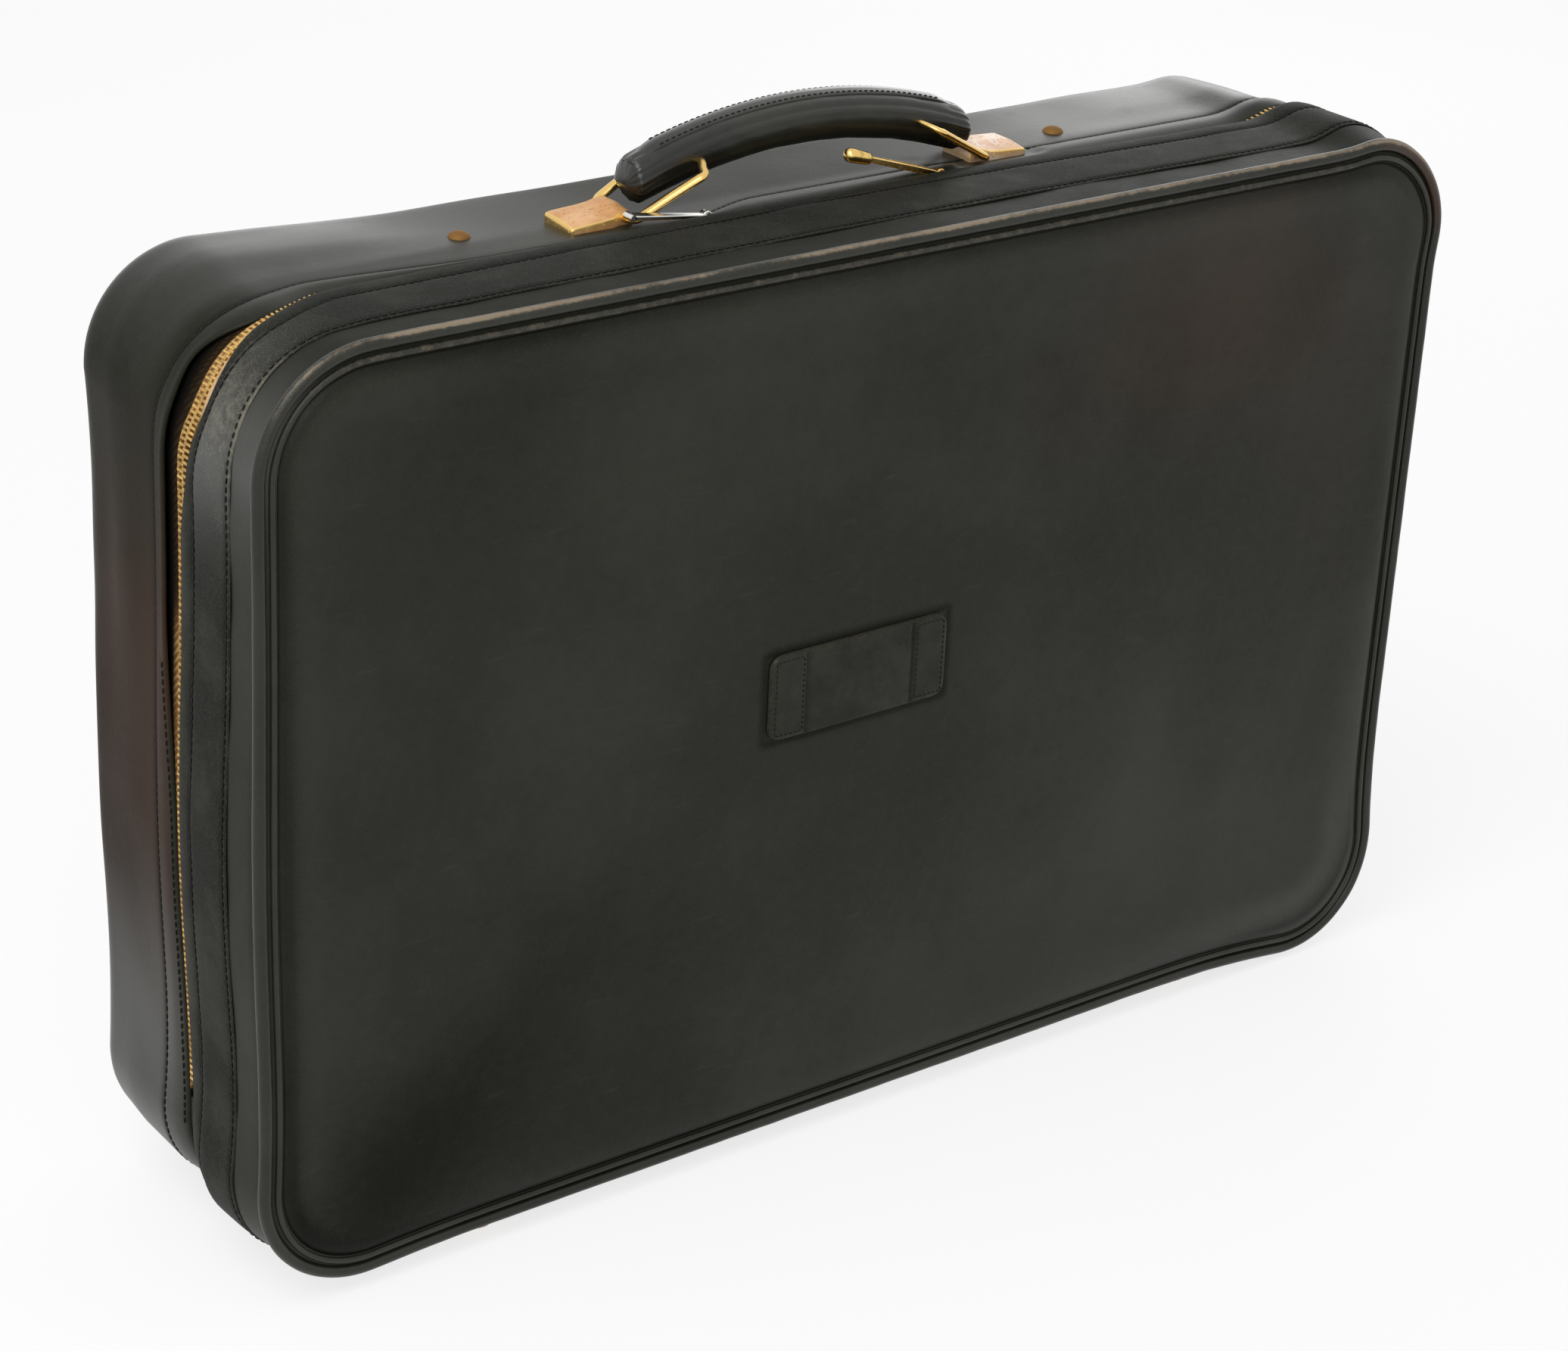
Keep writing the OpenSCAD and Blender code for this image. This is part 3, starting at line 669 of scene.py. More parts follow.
def lattice(rows: Array, closed_rows: bool = False, closed_columns: bool = True,
            caps: bool = True) -> Shape:
    """Skin a grid of points.

    Args:
        rows: the points, as an array of rows, columns and 3.
        closed_rows: whether the last row joins the first.
        closed_columns: whether the last column joins the first.
        caps: whether the first and last rows are closed with a face.

    Returns:
        The shape.
    """
    count, width = rows.shape[:2]
    row_ends = count if closed_rows else count - 1
    column_ends = width if closed_columns else width - 1
    faces = []
    for i in range(row_ends):
        here, there = i * width, (i + 1) % count * width
        for j in range(column_ends):
            k = (j + 1) % width
            faces.append((here + j, here + k, there + k, there + j))
    if caps:
        faces.append(tuple(range(width))[::-1])
        faces.append(tuple(range((count - 1) * width, count * width)))
    return Shape(rows.reshape(-1, 3), faces)


def copies(template: Shape, origins: Array, frames: Array) -> Shape:
    """Place a template many times.

    Args:
        template: the shape to copy.
        origins: where each copy goes, as an array of n and 3.
        frames: the directions of its axes there, as an array of n, 3 and 3.

    Returns:
        All the copies as one shape.
    """
    points = np.einsum("pk,nkj->npj", template.points, frames) + origins[:, None, :]
    step = len(template.points)
    faces = [tuple(i + n * step for i in face) for n in range(len(origins))
             for face in template.faces]
    return Shape(points.reshape(-1, 3), faces)


def tube(path: Array, radii: Array | float, sides: int, closed: bool = False,
         flat: float = 1.0, facing: Sequence[float] = (0.0, 1.0, 0.0)) -> Shape:
    """Sweep a round or flattened section along a path.

    Args:
        path: the points of the middle line.
        radii: the radius at each point.
        sides: how many sides the section has.
        closed: whether the path closes on itself.
        flat: the height of the section as a share of its width.
        facing: the direction that the section's width lies in.

    Returns:
        The shape, with capped ends where it is open.
    """
    path = np.asarray(path, float)
    if closed:
        ahead = np.roll(path, -1, axis=0) - np.roll(path, 1, axis=0)
    else:
        ahead = np.gradient(path, axis=0)
    ahead /= np.linalg.norm(ahead, axis=1)[:, None]
    width = np.cross(np.cross(ahead, np.array(facing, float)), ahead)
    width /= np.linalg.norm(width, axis=1)[:, None]
    height = np.cross(ahead, width)
    turns = circle(sides)
    radii = np.broadcast_to(np.asarray(radii, float), (len(path),))
    ring = (np.cos(turns)[None, :, None] * width[:, None, :]
            + flat * np.sin(turns)[None, :, None] * height[:, None, :])
    rows = path[:, None, :] + ring * radii[:, None, None]
    return lattice(rows, closed_rows=closed, caps=not closed)


def turned(profile: Sequence[tuple[float, float]], centre: Sequence[float],
           sides: int = 40) -> Shape:
    """Turn a profile of (radius, height) pairs about a vertical axis.

    Args:
        profile: the pairs, from the axis at one end to the axis at the other.
        centre: the axis and the zero of the heights.
        sides: how many sides it has.

    Returns:
        The shape.
    """
    turns = circle(sides)
    rows = []
    for radius, height in profile:
        ring = np.c_[radius * np.cos(turns), radius * np.sin(turns), np.full(sides, height)]
        rows.append(ring + np.array(centre, float))
    return lattice(np.array(rows))


def chamfered_box(size: Sequence[float], cut: float) -> Shape:
    """A box round the origin with its edges and corners cut off, as 24 points.

    Args:
        size: its size along each axis.
        cut: how far the cuts reach in from an edge.

    Returns:
        The shape.
    """
    half = np.array(size, float) / 2
    points, index = [], {}
    for corner in np.ndindex(2, 2, 2):
        sign = 2 * np.array(corner) - 1
        for axis in range(3):
            inner = half - cut
            inner[axis] = half[axis]
            index[(*corner, axis)] = len(points)
            points.append(sign * inner)
    faces = []
    for axis in range(3):
        u, v = [a for a in range(3) if a != axis]
        for side in (0, 1):
            loop = []
            for a, b in ((0, 0), (1, 0), (1, 1), (0, 1)):
                corner = [side] * 3
                corner[u], corner[v] = a, b
                loop.append(index[(*corner, axis)])
            faces.append(tuple(loop))
        for a in (0, 1):
            for b in (0, 1):
                low, high = [0] * 3, [1] * 3
                low[u] = high[u] = a
                low[v] = high[v] = b
                faces.append((index[(*low, u)], index[(*low, v)],
                              index[(*high, v)], index[(*high, u)]))
    for corner in np.ndindex(2, 2, 2):
        faces.append(tuple(index[(*corner, axis)] for axis in range(3)))
    return oriented(Shape(np.array(points), faces))


def oriented(shape: Shape) -> Shape:
    """Turn the faces of a convex shape outwards.

    Args:
        shape: the shape, with the origin inside it.

    Returns:
        The same shape with its faces turned.
    """
    faces = []
    for face in shape.faces:
        loop = shape.points[list(face)]
        normal = np.cross(loop[1] - loop[0], loop[2] - loop[0])
        outward = float(normal @ loop.mean(axis=0)) > 0
        faces.append(face if outward else face[::-1])
    return Shape(shape.points, faces, shape.marks)


# The rim of the case


Pairs = tuple[tuple[float, float], ...]


@dataclass(frozen=True)
class Sag:
    """A place where years of use have pushed the soft walls out of line.

    All its numbers are millimetres. The push fades like a bell with the distance from (x, z)
    on the outline, and a higher power gives the bell a flatter top and steeper sides. The
    pairs of depth and push say how it changes with the depth.
    """

    x: float
    z: float
    spread: float
    outward: Pairs
    forward: Pairs = ((0.0, 0.0),)
    power: float = 2.0

    def share(self, points: Array) -> Array:
        """How much of the push is felt at points of the outline."""
        gap = np.hypot(points[:, 0] - self.x * MM, points[:, 1] - self.z * MM)
        return np.exp(-((gap / (self.spread * MM)) ** self.power))

    @staticmethod
    def read(pairs: Pairs, depth: Array) -> Array:
        """The push at depths."""
        depths, pushes = zip(*pairs)
        return np.interp(depth / MM, depths, pushes) * MM


SAGS = (
    # The middle of the left side leans out.
    Sag(-350, 212, 100, ((-93, 3.4), (-25, 4.2), (0, 4.8), (17, 6.2), (46, 6.2), (66, 4.5),
                         (75, 2.4), (82, 1.2))),
    # The lower corners are squarer, but not beside the hinge.
    Sag(-336, 24, 58, ((-93, 5), (-60, 8), (-26, 8.5), (-5, 3.6), (5, 4), (20, 10), (50, 9),
                       (70, 5), (78, 4))),
    Sag(330, 20, 62, ((-93, 7), (-30, 8), (-5, 2.6), (5, 2.6), (24, 9), (60, 9), (78, 9.5))),
    # The upper corners are squarer too.
    Sag(333, 455, 48, ((-93, 3), (-60, 4.5), (-10, 8), (50, 9), (66, 6), (78, 2.5)), power=5),
    Sag(-336, 455, 66, ((-93, 4.5), (-60, 4.5), (-24, 0.5), (-18, 0.0))),
    # The zip swings forwards round the upper left corner.
    Sag(-326, 452, 45, ((-22, 0.0), (-5, -0.5), (8, -0.6), (17, -1.4), (46, -1.4), (75, -0.5)),
        ((-45, 0.0), (-24, 4.0), (-14, 9.0), (-6, 13.0), (8, 12.5), (17, 9.0), (46, 2.0),
         (60, 0.0)), power=5),
    # The lid's lip stands up over the zip along the top.
    Sag(20, 472, 230, ((4.3, 0.0), (5.2, 4.0), (17, 4.2), (46, 2.0), (75, 0.0))),
)


@dataclass(frozen=True)
class Stations:
    """Places along the rim as columns, with the direction in which the wall faces there."""

    x: Array
    z: Array
    out_x: Array
    out_z: Array

    @property
    def top(self) -> Array:
        """How far each faces up."""
        return np.clip(self.out_z, 0, 1)

    @property
    def left(self) -> Array:
        """How far each faces left."""
        return np.clip(-self.out_x, 0, 1)

    @property
    def right(self) -> Array:
        """How far each faces right."""
        return np.clip(self.out_x, 0, 1)

    @property
    def turn(self) -> Array:
        """The angle of each direction."""
        return np.arctan2(self.out_z, self.out_x)

    @property
    def corner(self) -> Array:
        """How near each is to the middle of a corner."""
        return np.abs(np.sin(2 * self.turn))


@dataclass(frozen=True)
class Rim:
    """The case's outline seen from the front, a rounded rectangle."""

    half_width: float
    low: float
    high: float
    split_y: float
    radius: float = 58 * MM
    soft_step: float = 10.5 * MM
    stiff_step: float = 15 * MM

    @property
    def flat(self) -> float:
        """Half the straight length of the top."""
        return self.half_width - self.radius

    @property
    def side(self) -> float:
        """The straight length of a side."""
        return self.high - self.low - 2 * self.radius

    @property
    def arc(self) -> float:
        """The length of a corner."""
        return math.pi * self.radius / 2

    @property
    def length(self) -> float:
        """The length of the whole outline."""
        return 4 * self.flat + 2 * self.side + 4 * self.arc

    @property
    def top_start(self) -> float:
        """The travel of the left end of the straight top."""
        return self.flat + self.side + 2 * self.arc

    @property
    def middle(self) -> Array:
        """The outline's middle."""
        return np.array([0.0, (self.low + self.high) / 2])

    @property
    def half(self) -> Array:
        """Half its width and height."""
        return np.array([self.half_width, (self.high - self.low) / 2])

    def at(self, travel: Array) -> tuple[Array, Array]:
        """Points of the outline.

        Args:
            travel: distances along it, from the bottom's middle to the left and up.

        Returns:
            The points and their outward normals, as arrays of n and 2 for X and Z.
        """
        travel = np.asarray(travel, float)
        points, normals = np.zeros((len(travel), 2)), np.zeros((len(travel), 2))
        legs = [(self.flat, False), (self.arc, True), (self.side, False), (self.arc, True),
                (2 * self.flat, False), (self.arc, True), (self.side, False), (self.arc, True),
                (self.flat, False)]
        place, angle, done = np.array([0.0, self.low]), -math.pi / 2, 0.0
        for leg, (length, turning) in enumerate(legs):
            last = leg == len(legs) - 1
            here = (travel >= done) & ((travel < done + length) | last)
            run = travel[here] - done
            normal = np.array([math.cos(angle), math.sin(angle)])
            if turning:
                centre = place - self.radius * normal
                turn = angle - run / self.radius
                normals[here] = np.c_[np.cos(turn), np.sin(turn)]
                points[here] = centre + self.radius * normals[here]
                angle -= math.pi / 2
                place = centre + self.radius * np.array([math.cos(angle), math.sin(angle)])
            else:
                ahead = np.array([normal[1], -normal[0]])
                normals[here] = normal
                points[here] = place + run[:, None] * ahead
                place = place + length * ahead
            done += length
        return points, normals

    def stations(self, travel: Array) -> Stations:
        """The places and directions at distances along the outline, as columns."""
        return Stations(*np.hstack(self.at(travel)).T[:, :, None])

    def outward(self, travel: Array) -> Array:
        """The outward directions in space."""
        normals = self.at(travel)[1]
        return np.c_[normals[:, 0], np.zeros(len(travel)), normals[:, 1]]

    def up(self, travel: Array) -> Array:
        """The way up from the bottom's middle on the nearer side."""
        return np.minimum(travel, self.length - travel)

    def climb(self, z: float) -> float:
        """The travel at which the left side reaches that height."""
        return self.flat + self.arc + (z - self.low - self.radius)

    def risen(self, travel: Array, start: float, end: float) -> Array:
        """Rise from 0 to 1 on both sides, between two heights."""
        return smooth(self.up(travel), self.climb(start), self.climb(end))

    def before(self, flat: Array, depth: Array | float) -> Array:
        """Points in space at depths before points of the front."""
        y = np.broadcast_to(self.split_y - depth, flat.shape[:-1])
        return np.stack([flat[..., 0], y, flat[..., 1]], axis=-1)

    def push(self, points: Array, step: Array, depth: Array) -> tuple[Array, Array]:
        """How far the sags push the walls.

        Args:
            points: the outline's points, as an array of n and 2.
            step: the steps of a section at each, as an array of n and m.
            depth: their depths.

        Returns:
            The push outwards and the push forwards, as arrays of n and m.
        """
        outward, forward = np.zeros(step.shape), np.zeros(step.shape)
        for sag in SAGS:
            share = sag.share(points)[:, None]
            outward += share * sag.read(sag.outward, depth)
            forward += share * sag.read(sag.forward, depth)
        soft = 1 - smooth(step, self.soft_step, self.stiff_step)
        return outward * soft, forward * soft

    def solid(self, travel: Array, step: Array, depth: Array) -> Array:
        """Place sections in space.

        Args:
            travel: where the sections stand.
            step: the steps of each section's points, as an array of n and m.
            depth: their depths.

        Returns:
            The points, as an array of n, m and 3.
        """
        points, normals = self.at(travel)
        outward, forward = self.push(points, step, depth)
        rows = np.empty((*step.shape, 3))
        rows[..., 0] = points[:, None, 0] - normals[:, None, 0] * (step - outward)
        rows[..., 1] = self.split_y - depth - forward
        rows[..., 2] = points[:, None, 1] - normals[:, None, 1] * (step - outward)
        return rows

    def place(self, travel: Array, step: Array | float, depth: Array | float) -> Array:
        """One point in space at each station."""
        sizes = [np.broadcast_to(size, len(travel))[:, None] for size in (step, depth)]
        return self.solid(travel, *sizes)[:, 0]

    def sweep(self, travel: Array, steps: Array, depths: Array, closed: bool = True) -> Shape:
        """Skin sections along the rim.

        Args:
            travel: where the sections stand.
            steps: the steps of a section's points, for all sections or for each.
            depths: their depths.
            closed: whether the sweep goes all the way round.

        Returns:
            The shape.
        """
        size = (len(travel), np.shape(steps)[-1])
        rows = self.solid(travel, np.broadcast_to(steps, size), np.broadcast_to(depths, size))
        return lattice(rows, closed_rows=closed, caps=not closed)

    def round_trip(self, spacing: float) -> Array:
        """Evenly spaced stations all the way round."""
        count = 2 * round(self.length / spacing / 2)
        return np.linspace(0, self.length, count, endpoint=False)


@dataclass(frozen=True)
class StitchRow:
    """A row of lockstitches in dark thread."""

    pitch: float = 4.2 * MM
    length: float = 3.1 * MM
    width: float = 0.75 * MM
    sink: float = 0.15 * MM

    def template(self) -> Shape:
        """One stitch along X, with its top along Z."""
        run = np.linspace(-0.5, 0.5, 7) * self.length
        swell = np.sqrt(np.clip(1 - (2 * run / self.length) ** 4, 0.02, 1))
        path = np.c_[run, np.zeros(7), 0.25 * self.width * swell]
        return tube(path, self.width / 2 * swell, 6)

    def along(self, points: Array, outward: Array) -> Shape:
        """Stitches along a dense line of points.

        Args:
            points: the line.
            outward: the surface's normal at each point.

        Returns:
            All the stitches.
        """
        gaps = np.linalg.norm(np.diff(points, axis=0), axis=1)
        travel = np.concatenate([[0.0], np.cumsum(gaps)])
        count = max(1, int(travel[-1] / self.pitch))
        spots = (np.arange(count) + 0.5) * travel[-1] / count
        origins = read_line(points, travel, spots)
        ahead = read_line(points, travel, spots + MM) - read_line(points, travel, spots - MM)
        up = read_line(outward, travel, spots)
        ahead /= np.linalg.norm(ahead, axis=1)[:, None]
        up -= (up * ahead).sum(axis=1)[:, None] * ahead
        up /= np.linalg.norm(up, axis=1)[:, None]
        across = np.cross(up, ahead)
        frames = np.stack([ahead, across, up], axis=1)
        return copies(self.template(), origins - self.sink * up, frames)

    def round_rim(self, rim: Rim, travel: Array, step: Array | float,
                  depth: Array | float) -> Shape:
        """Stitches along the rim at one step and depth."""
        return self.along(rim.place(travel, step, depth), rim.outward(travel))


# The body


@dataclass
class BodyShell:
    """The body's leather: its wall, the padded flap over the zip, the back and the studs.

    The flap runs from its edge, which hides the zip's tape, to its stitched seam. It gapes at
    the upper corners, where its edge stands out and away from the zip.
    """

    rim: Rim
    finishes: Finishes
    step: float = 7 * MM
    thickness: float = 1.7 * MM
    corner_start: float = 81 * MM
    back: float = 93 * MM
    back_radius: float = 12 * MM
    flange: float = 28 * MM
    pad: float = 1.7 * MM
    shut_lip: float = 8.0 * MM
    lip_rise: float = 2.6 * MM
    edge_behind_zip: float = 5.6 * MM
    edge_on_top: float = 3.6 * MM
    gape_width: float = 6.7 * MM
    stitch_inset: float = 3.4 * MM
    stud_radius: float = 5.5 * MM
    stud_height: float = 3 * MM

    def gape(self, travel: Array) -> Array:
        """How far the flap stands open, 0 to 1: at the upper corners and down the sides."""
        shut = smooth(self.rim.up(travel), self.rim.top_start - 62 * MM, self.rim.top_start)
        return self.rim.risen(travel, 215 * MM, 330 * MM) * (1 - shut)

    def edge_depth(self, travel: Array) -> Array:
        """How far behind the zip the flap's edge lies.

        Args:
            travel: stations along the rim.

        Returns:
            The distance at each.
        """
        low = self.edge_behind_zip + 1.6 * MM * self.rim.risen(travel, 70 * MM, 110 * MM)
        side = low + self.gape_width * self.gape(travel)
        start = self.rim.top_start
        on_top = smooth(self.rim.up(travel), start - 55 * MM, start + 6 * MM)
        return side + (self.edge_on_top - side) * on_top

    def seam_depth(self, travel: Array) -> Array:
        """How far behind the zip the flap's stitched seam lies.

        Args:
            travel: stations along the rim.

        Returns:
            The distance at each.
        """
        top, end = self.rim.top_start, self.rim.top_start + 2 * self.rim.flat
        closing = smooth(travel, self.rim.climb(385 * MM), top + 10 * MM)
        narrow = smooth(travel, top + 10 * MM, top + 120 * MM)
        wide = smooth(travel, top + 215 * MM, top + 270 * MM)
        corner = smooth(travel, end, end + self.rim.arc)
        return (25 - 8 * closing - 9.4 * narrow + 14.4 * wide + 3 * corner) * MM

    def lip_step(self, travel: Array) -> Array:
        """The steps of the flap's edge, as a column."""
        return self.shut_lip - self.lip_rise * self.gape(travel)[:, None]

    def bulge(self, here: Stations, depth: Array) -> Array:
        """How far the wall stands out from its frame.

        Args:
            here: the stations.
            depth: the distances behind the zip at each.

        Returns:
            The bulge at each station and depth.
        """
        behind = smooth(depth, 26 * MM, 52 * MM) * (1 - 0.35 * smooth(depth, 78 * MM, 93 * MM))
        shoulder = 4.2 * MM * hill(here.x, -285 * MM, 75 * MM) * here.top ** 2
        soft = 0.8 * MM * hill(here.x, 230 * MM, 120 * MM) * here.top ** 2
        cheek = 1.2 * MM * hill(here.z, 330 * MM, 120 * MM) * here.left ** 2
        along = here.turn * self.rim.radius + here.x + here.z
        ripple = 0.25 * MM * Ripple(11, 190 * MM, 40 * MM).at(along, depth)
        return (shoulder + soft + cheek + ripple) * behind

    def flap(self, travel: Array, share: Array) -> tuple[Array, Array]:
        """The surface of the padded flap between its edge and its seam.

        Args:
            travel: stations along the rim.
            share: places from the edge, at 0, to the seam, at 1.

        Returns:
            The steps and the depths of the surface at each station and share.
        """
        here = self.rim.stations(travel)
        gape, lip = self.gape(travel)[:, None], self.lip_step(travel)
        edge, seam = self.edge_depth(travel)[:, None], self.seam_depth(travel)[:, None]
        beside = np.abs(here.x - 5 * MM)
        under_base = smooth(beside, 88 * MM, 95 * MM) * (1 - smooth(beside, 142 * MM, 150 * MM))
        depth = edge + (seam - edge) * share
        width = np.clip((seam - edge) / (16 * MM), 0.45, 1.0)
        worn_flat = 0.6 * here.out_x ** 2 * (1 - gape)
        pad = self.pad * width * (1 + 0.35 * gape - worn_flat) * np.sin(math.pi * share) ** 0.75
        flatten = 1 - under_base * here.top ** 2 * smooth(depth, 9 * MM, 14 * MM)
        rise = (self.step + 0.3 * MM - lip) * smooth(share, 0, 0.55)
        return lip + rise - pad * flatten, depth

    def wall(self) -> Shape:
        """The wall with the padded, rolled flap along the zip."""
        travel = self.rim.round_trip(4 * MM)
        count, here = len(travel), self.rim.stations(travel)
        edge, seam = self.edge_depth(travel)[:, None], self.seam_depth(travel)[:, None]
        share = np.array([0.04, 0.10, 0.18, 0.28, 0.40, 0.52, 0.64, 0.76, 0.86, 0.93])
        flap_step, flap_depth = self.flap(travel, share)
        nose_step = self.lip_step(travel) + np.array([self.thickness, 1.2 * MM, 0.5 * MM])
        nose_depth = edge + mm(1.3, 0.2, 0.0)
        seam_step = self.step + mm(0.30, 0.62, 0.25)
        run = np.linspace(0, 1, 18)
        wall_depth = seam + 2.5 * MM + (self.corner_start - seam - 2.5 * MM) * run
        turn = np.linspace(0, math.pi / 2, 8)[1:]
        round_step = self.step + self.back_radius - self.back_radius * np.cos(turn)
        round_depth = self.corner_start + self.back_radius * np.sin(turn)
        rear_depth = columns(count, wall_depth, round_depth)
        hold = np.concatenate([np.ones(18), np.cos(turn)])
        rear_step = np.concatenate([np.full(18, self.step), round_step])
        rear_step = rear_step - self.bulge(here, rear_depth) * hold
        inner, behind = self.step + self.thickness, self.back - self.thickness
        tail = np.array([
            (self.flange - 3 * MM, self.back), (self.flange, self.back - 0.5 * MM),
            (self.flange, behind), (21 * MM, behind), (self.step + 5 * MM, self.back - 4 * MM),
            (self.step + 2 * MM, 80 * MM), (inner, 70 * MM), (inner, 28 * MM)])
        step = columns(count, nose_step, flap_step, seam_step, rear_step, tail[:, 0])
        depth = columns(count, nose_depth, flap_depth, seam + mm(-0.8, 0, 0.8), rear_depth,
                        tail[:, 1])
        shape = self.rim.sweep(travel, step, -depth)
        return shape.mark(**self._marks(here, depth, seam))

    @staticmethod
    def _marks(here: Stations, depth: Array, seam: Array) -> dict[str, Array]:
        """The wall's marks of wear, browning, gloss and shade.

        Args:
            here: the stations.
            depth: the distances behind the zip of each section's points.
            seam: those of the seam.

        Returns:
            The marks by name.
        """
        x, z, top, left = here.x, here.z, here.top, here.left
        rear_edge = hill(depth, 90 * MM, 7 * MM)
        flap_edge = 1 - smooth(depth, 6 * MM, 15 * MM)
        wear = 0.16 * rear_edge + 0.30 * rear_edge * here.corner + 0.10 * flap_edge
        brown = 0.95 * left * hill(z, 250 * MM, 130 * MM) * smooth(depth, 8 * MM, 14 * MM)
        brown = brown + 0.35 * rear_edge * left
        far = smooth(x, 60 * MM, 260 * MM)
        near = hill(x, -270 * MM, 125 * MM)
        gloss = top * smooth(depth, 24 * MM, 34 * MM) * (1.0 * far + 1.9 * near - 0.35)
        gloss = gloss + 0.7 * top * hill(x, -235 * MM, 26 * MM) * hill(depth, 74 * MM, 9 * MM)
        streak = hill(z, 330 * MM, 90 * MM) * hill(depth, 62 * MM, 10 * MM)
        low_sheen = hill(z, 80 * MM, 80 * MM) * smooth(depth, 6 * MM, 12 * MM)
        rim_light = hill(z, 350 * MM, 90 * MM) * hill(depth, 92 * MM, 12 * MM)
        gloss = gloss + left * (0.3 * streak + 1.2 * low_sheen + 1.2 * rim_light - 0.62)
        shade = 0.36 * left * smooth(depth, 30 * MM, 60 * MM) * (1 - streak) * (1 - low_sheen)
        shade = shade + 0.8 * hill(depth - seam, 0.0, 0.9 * MM)
        return {"wear": wear, "brown": brown, "gloss": gloss, "shade": shade}

    def seam_stitches(self) -> Shape:
        """The stitch rows along the flap and round the back."""
        travel, climb = self.rim.round_trip(1 * MM), self.rim.climb
        row = StitchRow(sink=0.0, width=0.95 * MM)
        rows = [row.round_rim(self.rim, travel, self.step + 0.5 * MM, -self.seam_depth(travel))]
        left = (climb(60 * MM), climb(300 * MM))
        right = (self.rim.length - left[1], self.rim.length - left[0])
        for start, end in (left, right):
            part = np.arange(start, end, 1 * MM)
            share = self.stitch_inset / (self.seam_depth(part) - self.edge_depth(part))
            step, depth = self.flap(part, share[:, None])
            rows.append(row.round_rim(self.rim, part, step[:, 0], -depth[:, 0]))
        line = self.rim.place(travel, self.flange - 4 * MM, -self.back - 0.05 * MM)
        back = row.along(line, np.broadcast_to([0.0, 1.0, 0.0], line.shape))
        return Shape.joined([*rows, back])

    def studs(self) -> Shape:
        """The two domed studs beside the handle."""
        low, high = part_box("stud_rivets")
        radius = self.stud_radius
        profile = [(0.2 * MM, -0.8 * MM), (radius, -0.8 * MM), (radius, 0.15 * MM),
                   (radius - 0.3 * MM, 0.7 * MM), (4.4 * MM, 1.6 * MM), (3.1 * MM, 2.4 * MM),
                   (1.6 * MM, 2.85 * MM), (0.1 * MM, self.stud_height)]
        spots = [(x, (low.y + high.y) / 2, high.z - self.stud_height)
                 for x in (low.x + radius, high.x - radius)]
        return Shape.joined(turned(profile, spot) for spot in spots).mark(wear=1.0)

    def build(self) -> None:
        """Make the pieces of the body's outside."""
        made = self.finishes
        self.wall().piece("body_leather", made["case"], "case_body", "case_leather",
                          ["body_wall"])
        self.seam_stitches().piece("body_stitches", made["thread"], "case_body", "case_leather")
        self.studs().piece("stud_heads", made["old_brass"], "case_body", "brass",
                           ["stud_rivets"])


# The lid


